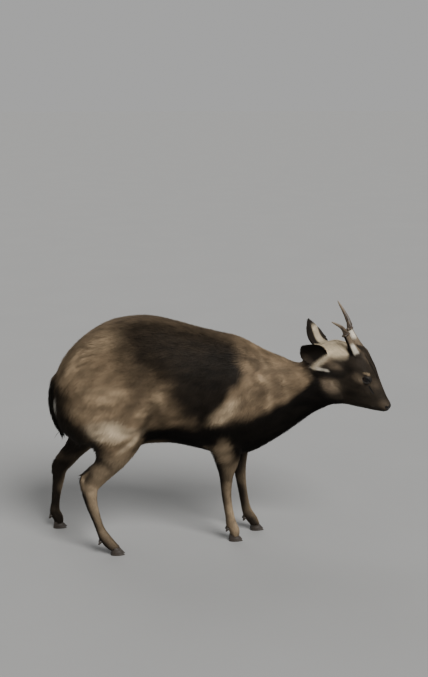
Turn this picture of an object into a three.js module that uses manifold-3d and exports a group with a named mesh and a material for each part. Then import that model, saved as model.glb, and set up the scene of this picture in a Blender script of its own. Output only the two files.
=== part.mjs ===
// A life-size muntjac buck standing with its head low, in millimetres.
// +X points the way the body faces, +Y to the animal's left, +Z up. The floor is at z = 0.
// The flesh is modelled whole from rings of skin and then parted by thin cuts into torso, neck, head and legs.
import * as THREE from "three";
import { mergeVertices } from "three/addons/utils/BufferGeometryUtils.js";
import Module from "manifold-3d";

const wasm = await Module();
wasm.setup();

// Driving dimensions
const GAP = 0.3; // between two nodes that touch
const RIGHT = -1; // the side of the animal that faces the viewer
const LEFT = 1;
const SIDES = [RIGHT, LEFT];
const BIG = 2000; // half the size of a block that cuts everything past a plane

const CUT_FORE = 207; // height at which a foreleg parts from the torso
const CUT_HIND = 246; // height at which a hind leg parts from the torso
const HIND_FROM_X = -120; // the hind legs are behind this
const CUT_MIDLINE = 28; // hind legs are parted only this far out from the midline

// Head: its own frame has x along the muzzle, y to the left and z to the forehead
const HEAD_AT = [263, -14, 459];
const HEAD_TURN = -16; // degrees, towards the animal's right
const HEAD_BOW = 36; // degrees, muzzle down
const HEAD_ROLL = 5; // degrees, left side up
const EYE_AT = [111, 29.5, 27];
const EYE_R = 11.5;
const LID_THICK = 1.5;
const EYE_OPEN = { length: 21, height: 14, tilt: -6 };
const EAR_HALF_WIDTH = 25;
const EAR_WALL = 2.2;
const PEDICLE_AT = [64, 23, 54];
const BURR_AT = [12, 26, 80];
const PEDICLE_R = 8;
const PEDICLE_FLARE = 5; // how much thicker a pedicle is at the brow
const BURR_R = 10.8;
const ANTLER_R = 6.2;
const TAIL_HALF_WIDTH = 15;
const TAIL_HALF_DEPTH = 7;
const HOOF = { length: 35, width: 12.5, height: 20, cleft: 2.2, toe: 0.5 };
const DEWCLAW = { length: 10, r: 4 };

// The trunk and neck: at each x, the heights of back and belly, half the width, the level of the widest
// point as a share of the depth, and the sideways shift of the midline.
const TRUNK = [
  { x: -381, top: 398, bottom: 322, wide: 30, level: 0.5, shift: 0, boxy: 2, keel: 2 },
  { x: -374, top: 425, bottom: 296, wide: 46, level: 0.5, shift: 0, boxy: 2, keel: 2.1 },
  { x: -358, top: 458, bottom: 274, wide: 64, level: 0.49, shift: 0, boxy: 2, keel: 2.3 },
  { x: -330, top: 492, bottom: 256, wide: 82, level: 0.47, shift: 0, boxy: 2, keel: 2.6 },
  { x: -290, top: 525, bottom: 250, wide: 96, level: 0.45, shift: 0, boxy: 2, keel: 2.7 },
  { x: -245, top: 549, bottom: 249, wide: 105, level: 0.43, shift: 0, boxy: 2, keel: 2.5 },
  { x: -200, top: 558, bottom: 249, wide: 113, level: 0.43, shift: 0, boxy: 2, keel: 2.3 },
  { x: -150, top: 559, bottom: 249, wide: 118, level: 0.43, shift: 0, boxy: 2, keel: 2.15 },
  { x: -95, top: 547, bottom: 247, wide: 118, level: 0.43, shift: 0, boxy: 2, keel: 2.1 },
  { x: -40, top: 531, bottom: 232, wide: 109, level: 0.45, shift: 0, boxy: 2, keel: 2.05 },
  { x: 15, top: 517, bottom: 218, wide: 96, level: 0.48, shift: 0, boxy: 2, keel: 2 },
  { x: 60, top: 506, bottom: 214, wide: 86, level: 0.5, shift: 0, boxy: 2, keel: 2 },
  { x: 95, top: 488, bottom: 220, wide: 77, level: 0.52, shift: 0, boxy: 2, keel: 2 },
  { x: 130, top: 469, bottom: 238, wide: 66, level: 0.53, shift: -1, boxy: 2, keel: 2 },
  { x: 170, top: 453, bottom: 263, wide: 56, level: 0.53, shift: -4, boxy: 2, keel: 2 },
  { x: 205, top: 437, bottom: 290, wide: 49, level: 0.52, shift: -8, boxy: 2, keel: 2 },
  { x: 240, top: 430, bottom: 317, wide: 44, level: 0.52, shift: -14, boxy: 2, keel: 2 },
  { x: 272, top: 434, bottom: 334, wide: 41, level: 0.52, shift: -22, boxy: 2, keel: 2 },
  { x: 300, top: 404, bottom: 345, wide: 25, level: 0.4, shift: -29, boxy: 2, keel: 2 },
];
const TRUNK_RINGS = 38;
const TRUNK_SIDES = 30;

// Muscles and bones that swell or hollow the skin: where, how far they reach along x, y and z, and how much.
const TRUNK_FORM = [
  { at: [-290, 90, 390], reach: [70, 80, 80], out: 8 }, // haunch
  { at: [-230, 105, 315], reach: [55, 80, 50], out: 10 }, // stifle
  { at: [-160, 115, 390], reach: [32, 60, 70], out: -6 }, // flank hollow
  { at: [25, 75, 265], reach: [30, 60, 45], out: 8 }, // upper arm
  { at: [45, 90, 380], reach: [45, 60, 80], out: 8 }, // shoulder blade
  { at: [70, 70, 310], reach: [40, 60, 45], out: 8 }, // point of the shoulder
  { at: [-25, 100, 330], reach: [30, 60, 60], out: -4 }, // behind the elbow
  { at: [150, 50, 400], reach: [40, 50, 40], out: -3 }, // neck in front of the shoulder
];

// The head: at each x of its own frame, forehead and jaw heights, half width, level of the widest point,
// and how boxy the forehead and how narrow the jaw are.
const HEAD = [
  { x: 200, top: 1, bottom: -16, wide: 9, level: 0.5, boxy: 2.2, keel: 2.2 },
  { x: 195, top: 5, bottom: -21, wide: 14, level: 0.52, boxy: 2.2, keel: 2.2 },
  { x: 185, top: 9, bottom: -27, wide: 17.5, level: 0.5, boxy: 2.2, keel: 2.1 },
  { x: 170, top: 17, bottom: -36, wide: 20, level: 0.5, boxy: 2.2, keel: 2 },
  { x: 150, top: 29, bottom: -47, wide: 24, level: 0.54, boxy: 2.3, keel: 1.9 },
  { x: 130, top: 41, bottom: -58, wide: 30, level: 0.6, boxy: 2.5, keel: 1.8 },
  { x: 108, top: 53, bottom: -69, wide: 40, level: 0.68, boxy: 2.7, keel: 1.7 },
  { x: 86, top: 64, bottom: -78, wide: 44, level: 0.68, boxy: 2.7, keel: 1.7 },
  { x: 64, top: 73, bottom: -86, wide: 44, level: 0.6, boxy: 2.2, keel: 1.8 },
  { x: 42, top: 67, bottom: -92, wide: 44, level: 0.57, boxy: 2.2, keel: 1.9 },
  { x: 20, top: 58, bottom: -95, wide: 44, level: 0.54, boxy: 2, keel: 2 },
  { x: 0, top: 48, bottom: -92, wide: 40, level: 0.52, boxy: 2, keel: 2 },
  { x: -16, top: 28, bottom: -80, wide: 31, level: 0.52, boxy: 2, keel: 2 },
  { x: -26, top: 2, bottom: -58, wide: 18, level: 0.5, boxy: 2, keel: 2 },
];
const HEAD_RINGS = 30;
const HEAD_SIDES = 28;
const HEAD_FORM = [
  { at: [110, 36, 38], reach: [15, 14, 9], out: 4 }, // brow
  { at: [100, 38, 14], reach: [16, 14, 9], out: 3 }, // cheekbone
  { at: [131, 26, 16], reach: [11, 12, 9], out: -3 }, // tear pit
  { at: [74, 22, 64], reach: [24, 8, 14], out: 4 }, // ridge below the pedicle
  { at: [115, 15, 50], reach: [26, 7, 12], out: 3 }, // ridge down the face
  { at: [92, 0, 60], reach: [40, 7, 16], out: -3 }, // hollow between the ridges
  { at: [40, 42, -40], reach: [26, 30, 26], out: 4 }, // jowl
  { at: [165, 20, -28], reach: [16, 14, 10], out: 1.5 }, // lip
  { at: [62, 45, 18], reach: [16, 30, 14], out: -3 }, // temple
];

// Leg stations from the body down: half depth to the front and back, and half width
const HIND_GIRTH = {
  hip: [60, 62, 34],
  rump: [88, 82, 42],
  thigh: [89, 86, 45],
  stifle: [70, 70, 41],
  gaskin: [42, 42, 32],
  shin: [27, 28, 23],
  hock: [20, 27, 17],
  underHock: [17, 21, 15],
  cannonTop: [13.5, 17, 12.5],
  cannon: [11, 13, 11],
  cannonEnd: [10.5, 11, 11],
  fetlock: [12, 15, 13.5],
  pastern: [11, 14, 14],
};
const HIND_AT = {
  [RIGHT]: {
    hip: [-285, 40, 425],
    rump: [-275, 58, 372],
    thigh: [-256, 69, 322],
    stifle: [-240, 81, 280],
    gaskin: [-247, 88, 240],
    shin: [-268, 88, 208],
    hock: [-293, 86, 182],
    underHock: [-301, 86, 158],
    cannonTop: [-298, 87, 128],
    cannon: [-288, 89, 95],
    cannonEnd: [-277, 91, 64],
    fetlock: [-268, 93, 42],
    pastern: [-254, 95, 25],
    hoof: [-253, 96, 0],
    heelRoot: [-297, 87, 146],
    heel: [-318, 86, 193],
    tendon: [-272, 88, 234],
  },
  [LEFT]: {
    hip: [-290, 40, 425],
    rump: [-288, 58, 372],
    thigh: [-294, 68, 322],
    stifle: [-306, 77, 280],
    gaskin: [-319, 83, 240],
    shin: [-340, 84, 210],
    hock: [-366, 84, 182],
    underHock: [-380, 84, 158],
    cannonTop: [-385, 85, 128],
    cannon: [-390, 86, 94],
    cannonEnd: [-393, 87, 64],
    fetlock: [-396, 87, 42],
    pastern: [-388, 87, 25],
    hoof: [-400, 87, 0],
    heelRoot: [-384, 85, 146],
    heel: [-385, 84, 184],
    tendon: [-344, 84, 226],
  },
};
const FORE_GIRTH = {
  shoulder: [34, 34, 22],
  arm: [42, 40, 29],
  elbow: [33, 38, 26],
  forearm: [25, 32, 22],
  overKnee: [17.5, 20, 17],
  knee: [14.5, 14, 15.5],
  cannonTop: [12.5, 12, 13],
  cannon: [11, 11.5, 11.5],
  cannonEnd: [11, 12, 11.5],
  fetlock: [12, 15, 13.5],
  pastern: [11, 14, 14],
};
const FORE_AT = {
  [RIGHT]: {
    shoulder: [22, 56, 335],
    arm: [25, 58, 285],
    elbow: [25, 53, 240],
    forearm: [25, 47, 205],
    overKnee: [26, 43, 175],
    knee: [27, 39, 145],
    cannonTop: [28, 37, 120],
    cannon: [31, 35, 92],
    cannonEnd: [36, 33, 64],
    fetlock: [39, 31, 42],
    pastern: [47, 30, 25],
    hoof: [34, 29, 0],
  },
  [LEFT]: {
    shoulder: [28, 56, 335],
    arm: [38, 57, 285],
    elbow: [50, 53, 240],
    forearm: [59, 49, 205],
    overKnee: [65, 46, 175],
    knee: [69, 43, 145],
    cannonTop: [72, 41, 120],
    cannon: [76, 40, 92],
    cannonEnd: [81, 39, 64],
    fetlock: [87, 38, 42],
    pastern: [99, 38, 25],
    hoof: [93, 38, 0],
  },
};
const SOLE_GIRTH = [9, 12, 12.5];
const HEEL_FLOW = 8;
const LEG_SIDES = 16;

// Finishes, from the photograph's tones and the species' own browns
const finish = (colour, roughness) =>
  new THREE.MeshStandardMaterial({ color: colour, roughness, metalness: 0 });
const COAT_DARK = finish(0x2e2018, 0.75);
const COAT_LIGHT = finish(0x6b5340, 0.75);
const COAT_FACE = finish(0x4a3729, 0.75);
const COAT_LEG = finish(0x30231b, 0.75);
const ANTLER_BONE = finish(0x8a7256, 0.5);
const HORN = finish(0x1f1a17, 0.4);
const EYE_DARK = finish(0x120c09, 0.08);

const vector = (p) => new THREE.Vector3(...p);
const radians = THREE.MathUtils.degToRad;
const soft = (t) => t * t * (3 - 2 * t);

/** The geometry's solid, with coincident vertices merged and faces out. */
function solid(geometry) {
  const bare = geometry.clone();
  bare.deleteAttribute("normal");
  bare.deleteAttribute("uv");
  const merged = mergeVertices(bare, 1e-4);
  const index = merged.index.array;
  const triVerts = Uint32Array.from(index);
  const make = () =>
    new wasm.Manifold(
      new wasm.Mesh({
        numProp: 3,
        vertProperties: Float32Array.from(merged.attributes.position.array),
        triVerts,
      }),
    );
  const made = make();
  if (made.volume() > 0) return made;
  for (let i = 0; i < triVerts.length; i += 3)
    [triVerts[i + 1], triVerts[i + 2]] = [triVerts[i + 2], triVerts[i + 1]];
  return make();
}

/** The largest closed surface of a solid. */
function largest(made) {
  const pieces = made.decompose();
  return pieces.reduce((a, b) => (b.volume() > a.volume() ? b : a));
}

/** A solid as a geometry with its own normals. */
function geometryOf(made) {
  const mesh = made.getMesh();
  const position = new Float32Array(mesh.numVert * 3);
  for (let i = 0; i < mesh.numVert; i++)
    position.set(
      mesh.vertProperties.subarray(i * mesh.numProp, i * mesh.numProp + 3),
      i * 3,
    );
  const geometry = new THREE.BufferGeometry();
  geometry.setAttribute("position", new THREE.BufferAttribute(position, 3));
  geometry.setIndex(new THREE.BufferAttribute(mesh.triVerts, 1));
  geometry.computeVertexNormals();
  return geometry;
}

/** A table's rows joined smoothly: at(x) gives every column of the table at that x. */
function smoothTable(rows) {
  const keys = Object.keys(rows[0]).filter((k) => k !== "x");
  const rising = rows[0].x < rows[rows.length - 1].x ? 1 : -1;
  const slope = (i, k) => {
    const a = rows[Math.max(0, i - 1)];
    const b = rows[Math.min(rows.length - 1, i + 1)];
    return (b[k] - a[k]) / (b.x - a.x);
  };
  return (x) => {
    let i = 0;
    while (i < rows.length - 2 && (x - rows[i + 1].x) * rising > 0) i++;
    const a = rows[i];
    const b = rows[i + 1];
    const d = b.x - a.x;
    const t = THREE.MathUtils.clamp((x - a.x) / d, 0, 1);
    const row = { x };
    for (const k of keys)
      row[k] =
        a[k] * (1 + 2 * t) * (1 - t) ** 2 +
        slope(i, k) * d * t * (1 - t) ** 2 +
        b[k] * t * t * (3 - 2 * t) +
        slope(i + 1, k) * d * t * t * (t - 1);
    return row;
  };
}

/** A closed surface through rings of equally many points, with a point at the middle of each end. */
function skin(rings) {
  const n = rings[0].length;
  const position = [];
  const index = [];
  rings.forEach((ring) => ring.forEach((p) => position.push(p.x, p.y, p.z)));
  const middle = (ring) =>
    ring
      .reduce((sum, p) => sum.add(p), new THREE.Vector3())
      .divideScalar(ring.length);
  for (let r = 0; r + 1 < rings.length; r++)
    for (let i = 0; i < n; i++) {
      const a = r * n + i;
      const b = r * n + ((i + 1) % n);
      index.push(a, b, a + n, b, b + n, a + n);
    }
  [rings[0], rings[rings.length - 1]].forEach((ring, end) => {
    const hub = position.length / 3;
    const m = middle(ring);
    position.push(m.x, m.y, m.z);
    const first = end * (rings.length - 1) * n;
    for (let i = 0; i < n; i++) {
      const a = first + i;
      const b = first + ((i + 1) % n);
      if (end) index.push(a, b, hub);
      else index.push(b, a, hub);
    }
  });
  const geometry = new THREE.BufferGeometry();
  geometry.setAttribute(
    "position",
    new THREE.Float32BufferAttribute(position, 3),
  );
  geometry.setIndex(index);
  return solid(geometry);
}

/** One ring: a rounded outline about a centre, with its own reach up, down and to each side. */
function ring({ at, across, up, wide, top, bottom, over = 2, under = 2, n }) {
  return Array.from({ length: n }, (_, i) => {
    const a = (2 * Math.PI * i) / n;
    const c = Math.cos(a);
    const s = Math.sin(a);
    const power = 2 / (s > 0 ? over : under);
    const y = wide * Math.sign(c) * Math.abs(c) ** power;
    const z = (s > 0 ? top : bottom) * Math.sign(s) * Math.abs(s) ** power;
    return at.clone().addScaledVector(across, y).addScaledVector(up, z);
  });
}

/** Pushes a ring's points out from its middle where a swelling of the form list reaches, alike on both sides. */
function shape(points, middle, form) {
  return points.map((p) => {
    const away = p.clone().sub(middle).normalize();
    let push = 0;
    for (const f of form) {
      const d =
        ((p.x - f.at[0]) / f.reach[0]) ** 2 +
        ((Math.abs(p.y) - f.at[1]) / f.reach[1]) ** 2 +
        ((p.z - f.at[2]) / f.reach[2]) ** 2;
      push += f.out * Math.exp(-d);
    }
    return p.clone().addScaledVector(away, push);
  });
}

/** Places from 0 to 1 that crowd towards both ends, so that a rounded end has rings enough. */
const crowded = (count) =>
  Array.from({ length: count }, (_, i) => {
    const t = i / (count - 1);
    return t * 0.72 + soft(t) * 0.28;
  });

/** The middle of a ring of points. */
function middleOf(points) {
  const sum = points.reduce((a, p) => a.add(p), new THREE.Vector3());
  return sum.divideScalar(points.length);
}

/** How far a place in a ring's plane is outside its outline, the ring's reaches given. */
function pastOutline(y, z, { wide, top, bottom, over = 2, under = 2 }) {
  const power = z > 0 ? over : under;
  const reach = z > 0 ? top : bottom;
  const share = (Math.abs(y / wide) ** power + Math.abs(z / reach) ** power) ** (1 / power);
  return share > 0 ? Math.hypot(y, z) * (1 - 1 / share) : -Math.min(wide, reach);
}

/** A form of vertical rings from a table of heights and widths, closed by one shrunk ring at each end. */
function bodyForm(rows, swellings, count, n, flow) {
  const at = smoothTable(rows);
  const from = rows[0].x;
  const to = rows[rows.length - 1].x;
  const section = (x) => {
    const row = at(x);
    const level = row.bottom + (row.top - row.bottom) * row.level;
    return {
      at: new THREE.Vector3(row.x, row.shift ?? 0, level),
      wide: row.wide,
      top: row.top - level,
      bottom: level - row.bottom,
      over: row.boxy,
      under: row.keel,
    };
  };
  const across = new THREE.Vector3(0, 1, 0);
  const up = new THREE.Vector3(0, 0, 1);
  const rings = crowded(count).map((t) => {
    const part = section(from + (to - from) * t);
    return shape(ring({ ...part, across, up, n }), part.at, swellings);
  });
  const closing = (outer, inner) => {
    const m = middleOf(outer);
    const size = outer[0].distanceTo(outer[n / 2]) / 2;
    const past = Math.sign(outer[0].x - inner[0].x) * 0.12 * size;
    return outer.map((p) => p.clone().lerp(m, 0.45).add(new THREE.Vector3(past, 0, 0)));
  };
  rings.unshift(closing(rings[0], rings[1]));
  rings.push(closing(rings[rings.length - 1], rings[rings.length - 2]));
  const outside = (p) => {
    const x = THREE.MathUtils.clamp(p.x, Math.min(from, to), Math.max(from, to));
    const part = section(x);
    const d = pastOutline(p.y - part.at.y, p.z - part.at.z, part);
    return p.x === x ? d : Math.hypot(Math.max(d, 0), p.x - x);
  };
  return { rings, outside, flow };
}

/** A round-ended limb along a smooth line: radii(t) gives its reach forward, back and sideways. */
function limbForm({ line, radii, count, n, flow, across = new THREE.Vector3(0, 1, 0) }) {
  const stations = Array.from({ length: count }, (_, i) => {
    const t = i / (count - 1);
    const onward = line.getTangent(t);
    const side = across.clone().addScaledVector(onward, -across.dot(onward)).normalize();
    const [top, bottom, wide] = radii(t);
    const up = side.clone().cross(onward).normalize();
    return { at: line.getPoint(t), onward, across: side, up, wide, top, bottom };
  });
  const rings = stations.map((station) => ring({ ...station, n }));
  const outside = (p) => {
    let best = stations[0];
    for (const station of stations)
      if (p.distanceToSquared(station.at) < p.distanceToSquared(best.at)) best = station;
    const v = p.clone().sub(best.at);
    const d = pastOutline(v.dot(best.across), v.dot(best.up), best);
    const along = v.dot(best.onward);
    const past = best === stations[0] ? -along : best === stations[count - 1] ? along : 0;
    return past > 0 ? Math.hypot(Math.max(d, 0), past) : d;
  };
  return { rings, outside, flow };
}

const limb = (options) => skin(limbForm(options).rings);

/** A form moved by a matrix. */
function placed(form, matrix) {
  const back = matrix.clone().invert();
  return {
    rings: form.rings.map((points) => points.map((p) => p.clone().applyMatrix4(matrix))),
    outside: (p) => form.outside(p.clone().applyMatrix4(back)),
    flow: form.flow,
  };
}

/** The union of forms, each pushed out where it nears another, so that they flow together like flesh. */
function flesh(forms) {
  const skins = forms.map((form) =>
    skin(
      form.rings.map((points) => {
        const middle = middleOf(points);
        return points.map((p) => {
          let push = 0;
          for (const other of forms) {
            if (other === form) continue;
            const reach = Math.min(form.flow, other.flow);
            const near = Math.max(0, 1 - Math.abs(other.outside(p)) / reach);
            push = Math.max(push, (reach / 4) * near * near);
          }
          return p.clone().addScaledVector(p.clone().sub(middle).normalize(), push);
        });
      }),
    ),
  );
  return skins.reduce((all, one) => all.add(one));
}

/** Column-wise smooth interpolation of a list of number rows at t from 0 to 1. */
function along(rows) {
  const at = smoothTable(
    rows.map((r, i) => ({ x: i / (rows.length - 1), ...r })),
  );
  return (t) => {
    const row = at(t);
    return Object.keys(rows[0]).map((k) => row[k]);
  };
}

/** One leg of flesh through named stations of place and girth, down to the top of the hooves. */
function legForms(places, girths, side, rows, flow) {
  const mirrored = ([x, y, z]) => new THREE.Vector3(x, y * side, z);
  const names = Object.keys(girths);
  const points = names.map((k) => mirrored(places[k]));
  const hoof = mirrored(places.hoof);
  points.push(new THREE.Vector3(hoof.x + HOOF.length * 0.36, hoof.y, 11));
  const forms = [
    limbForm({
      line: new THREE.CatmullRomCurve3(points, false, "centripetal"),
      radii: along([...names.map((k) => girths[k]), SOLE_GIRTH]),
      count: rows,
      n: LEG_SIDES,
      flow,
    }),
  ];
  if (places.heel)
    forms.push(
      limbForm({
        line: new THREE.LineCurve3(mirrored(places.heelRoot), mirrored(places.heel)),
        radii: (t) => [15, 15, 12].map((r) => r * Math.sqrt(1 - 0.88 * t ** 3)),
        count: 6,
        n: 10,
        flow: HEEL_FLOW,
      }),
      limbForm({
        line: new THREE.LineCurve3(mirrored(places.heel), mirrored(places.tendon)),
        radii: (t) => [6 + 5 * t, 5, 6 + 8 * t],
        count: 5,
        n: 10,
        flow: HEEL_FLOW,
      }),
    );
  return forms;
}

/** A hoof half: a pointed oval sole, drawn in towards the top, with a flat inner side. */
function claw(at, side, grow = 0) {
  const { length, width, height, toe } = HOOF;
  const n = 14;
  const levels = [0, 0.35, 0.7, 1];
  const rings = levels.map((h, k) => {
    const back = -grow + 2.5 * h;
    const front = length * (1 - toe * h) + grow;
    const reach = (width + 2 * grow) * (1 - 0.12 * h);
    const z = k === 0 ? -grow : k === 3 ? height + grow : height * h;
    return Array.from({ length: n }, (_, i) => {
      const a = (2 * Math.PI * i) / n;
      const t = (1 - Math.cos(a)) / 2;
      const pointed = Math.sin(a) * (1 - 0.45 * t ** 3);
      const y = reach * (pointed > 0 ? 0.62 * pointed : 0.38 * pointed);
      return new THREE.Vector3(
        at.x + back + (front - back) * t,
        at.y + side * y,
        at.z + z - 0.2 * height * h * (1 - t),
      );
    });
  });
  return skin(rings);
}

/** A dewclaw: a short blunt horn behind the fetlock. */
function dewclaw(at, direction, grow = 0) {
  const line = new THREE.LineCurve3(
    at.clone().addScaledVector(direction, -grow),
    at.clone().addScaledVector(direction, DEWCLAW.length + grow),
  );
  return limb({
    line,
    radii: (t) => {
      const r = DEWCLAW.r * Math.sqrt(1 - 0.82 * t * t) + grow;
      return [r, r, r * 0.85];
    },
    count: 4,
    n: 7,
  });
}

/** Everything on this side of a plane through a point, as a block. */
function beyond(point, normal) {
  const block = new THREE.BoxGeometry(2 * BIG, 2 * BIG, 2 * BIG);
  const turn = new THREE.Quaternion().setFromUnitVectors(
    new THREE.Vector3(0, 0, 1),
    normal.clone().normalize(),
  );
  block.translate(0, 0, BIG);
  block.applyQuaternion(turn);
  block.translate(point.x, point.y, point.z);
  return solid(block);
}

/** A block between two corners. */
function block(low, high) {
  const box = new THREE.BoxGeometry(
    high[0] - low[0],
    high[1] - low[1],
    high[2] - low[2],
  );
  box.translate(
    (low[0] + high[0]) / 2,
    (low[1] + high[1]) / 2,
    (low[2] + high[2]) / 2,
  );
  return solid(box);
}

// The head's frame
const headFrame = new THREE.Matrix4().compose(
  vector(HEAD_AT),
  new THREE.Quaternion()
    .setFromEuler(
      new THREE.Euler(
        radians(HEAD_ROLL),
        radians(HEAD_BOW),
        radians(HEAD_TURN),
        "ZYX",
      ),
    ),
  new THREE.Vector3(1, 1, 1),
);
const inHead = (made) => made.transform(headFrame.elements);
const headPoint = (x, y, z) => new THREE.Vector3(x, y, z);

// An ear from its root to its tip: half its width, and how far its back and its hollow front lie
// behind and before the line between its edges
const EAR = [
  { across: 13, behind: 13, before: 12 },
  { across: 14, behind: 14, before: 11 },
  { across: 18, behind: 15, before: 1 },
  { across: 23, behind: 15.5, before: -9 },
  { across: EAR_HALF_WIDTH, behind: 15, before: -11.5 },
  { across: 25, behind: 13.2, before: -10.4 },
  { across: 22.5, behind: 10.6, before: -8 },
  { across: 18, behind: 7.6, before: -5.2 },
  { across: 11.5, behind: 4.6, before: -2.4 },
  { across: 3, behind: 1.6, before: 0.3 },
];
const EAR_ROOT = 14; // how far the root goes into the head

/** An ear in its own frame: z to the tip, x to the way that it opens. Filled, it is the room it needs. */
function ear({ length, wide }, filled) {
  const at = along(EAR);
  const half = 8;
  const count = 14;
  const grow = filled ? GAP : 0;
  const rings = Array.from({ length: count }, (_, k) => {
    const t = k / (count - 1);
    const [full, behind, before] = at(t);
    const across = full * wide;
    const bend = 6 * Math.sin(Math.PI * t) - 5 * t * t;
    const height = -EAR_ROOT + (length + EAR_ROOT + grow) * t;
    const point = (x, y) => new THREE.Vector3(x - bend, y, height);
    const back = Array.from({ length: half + 1 }, (_, i) => {
      const a = Math.PI * (i / half) - Math.PI / 2;
      return point(-(behind + grow) * Math.cos(a), (across + grow) * Math.sin(a));
    });
    const inner = filled ? across : Math.max(across - EAR_WALL, across * 0.6);
    const depth = filled ? Math.max(before, 6) : before;
    const front = Array.from({ length: half - 1 }, (_, i) => {
      const a = Math.PI / 2 - Math.PI * ((i + 1) / half);
      return point(depth * Math.cos(a), inner * Math.sin(a));
    });
    return [...back, ...front];
  });
  return skin(rings);
}

const EAR_POSE = {
  [RIGHT]: { at: [8, -37, -7], tip: [-72, -43, 21], open: [0.25, -0.9, -0.1], length: 80, wide: 1.2 },
  [LEFT]: { at: [-9.5, 35, 8.5], tip: [-74, 30, 13], open: [0.02, -0.36, 0.93], length: 78, wide: 1.1 },
};

/** The matrix that stands an ear on the head: z along the tip, x the way that it opens. */
function earFrame(pose) {
  const z = vector(pose.tip).normalize();
  const x = vector(pose.open);
  x.addScaledVector(z, -x.dot(z)).normalize();
  const y = z.clone().cross(x);
  return headFrame
    .clone()
    .multiply(new THREE.Matrix4().makeBasis(x, y, z).setPosition(vector(pose.at)));
}

// The right antler is worn shorter and hooks back more than the left one.
const ANTLER_ROUTE = {
  [RIGHT]: [
    [4, 31, 87],
    [-10, 41, 94],
    [-37, 54, 94],
  ],
  [LEFT]: [
    [2, 33, 89],
    [-22, 40, 101],
    [-54, 44, 114],
  ],
};

/** The line of an antler from its burr, in the head's frame. */
function antlerLine(side) {
  const points = [BURR_AT, ...ANTLER_ROUTE[side]].map(
    ([x, y, z]) => new THREE.Vector3(x, y * side, z),
  );
  return new THREE.CatmullRomCurve3(points, false, "centripetal");
}

/** The pedicle: a short post of skin-covered bone from the brow to the burr. */
function pedicle(side) {
  const base = vector(PEDICLE_AT);
  const top = vector(BURR_AT);
  base.y *= side;
  top.y *= side;
  return limbForm({
    line: new THREE.LineCurve3(base, top),
    radii: (t) => {
      const r = PEDICLE_R + PEDICLE_FLARE * (1 - soft(t));
      return [r, r, r * 0.9];
    },
    count: 6,
    n: 12,
    flow: 10,
  });
}

/** An antler with a knobbed burr and a tapered beam. */
function antler(side) {
  const line = antlerLine(side);
  const start = line.getPoint(0);
  const base = vector(PEDICLE_AT);
  base.y *= side;
  const go = start.clone().sub(base).normalize();
  const foot = start.clone().addScaledVector(go, GAP);
  const knobs = 16;
  const burrLevels = [
    [0, PEDICLE_R],
    [1.4, BURR_R - 0.2],
    [3.8, BURR_R],
    [6.2, BURR_R - 3.2],
  ];
  const across = new THREE.Vector3(0, 1, 0);
  const burr = skin(
    burrLevels.map(([h, r]) => {
      const points = ring({
        at: foot.clone().addScaledVector(go, h),
        across: across.clone().addScaledVector(go, -across.dot(go)).normalize(),
        up: across.clone().cross(go).normalize(),
        wide: r,
        top: r,
        bottom: r,
        n: knobs,
      });
      const m = foot.clone().addScaledVector(go, h);
      return points.map((p, i) =>
        p.lerp(m, h > 1 && h < 5 && i % 2 ? 0.1 : 0),
      );
    }),
  );
  const beam = limb({
    line,
    radii: (t) => {
      const r = ANTLER_R * (1 - t) ** 0.62 + 0.9;
      return [r * 1.12, r * 1.12, r * 0.9];
    },
    count: 11,
    n: 9,
  });
  const behindFoot = beyond(foot, go);
  return largest(burr.add(beam).intersect(behindFoot));
}

/** An eyelid shell over the eyeball, open in an almond. */
function lids(side) {
  const centre = new THREE.Vector3(EYE_AT[0], EYE_AT[1] * side, EYE_AT[2]);
  const shell = new THREE.SphereGeometry(EYE_R + LID_THICK, 16, 10);
  shell.translate(centre.x, centre.y, centre.z);
  return solid(shell);
}

/** The almond that opens the lids: a lens drawn out sideways from the middle of the eye. */
function lidOpening(side) {
  const outline = new THREE.Shape();
  const n = 14;
  for (let i = 0; i < n; i++) {
    const a = (2 * Math.PI * i) / n;
    const x = (EYE_OPEN.length / 2) * Math.cos(a);
    const y = (EYE_OPEN.height / 2) * Math.sign(Math.sin(a)) * Math.abs(Math.sin(a)) ** 1.25;
    if (i) outline.lineTo(x, y);
    else outline.moveTo(x, y);
  }
  outline.closePath();
  const lens = new THREE.ExtrudeGeometry(outline, {
    depth: 30,
    bevelEnabled: false,
  });
  // The outline lies in x and z, drawn out along y.
  lens.rotateX(Math.PI / 2);
  lens.rotateY(radians(EYE_OPEN.tilt));
  if (side > 0) lens.translate(0, 30 + 3, 0);
  else lens.translate(0, -3, 0);
  lens.translate(EYE_AT[0] + 1, EYE_AT[1] * side, EYE_AT[2]);
  return solid(lens);
}

/** A thin wedge along a line of points, for the mouth and the slits of the face. */
function groove(points, wide, deep) {
  const line = new THREE.CatmullRomCurve3(points.map((p) => headPoint(...p)));
  return limb({
    line,
    radii: (t) => {
      const swell = Math.sqrt(Math.max(0.04, Math.sin(Math.PI * Math.min(1, Math.max(0, t)))));
      return [wide * swell + 0.15, wide * swell + 0.15, deep];
    },
    count: 7,
    n: 6,
  });
}

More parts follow.
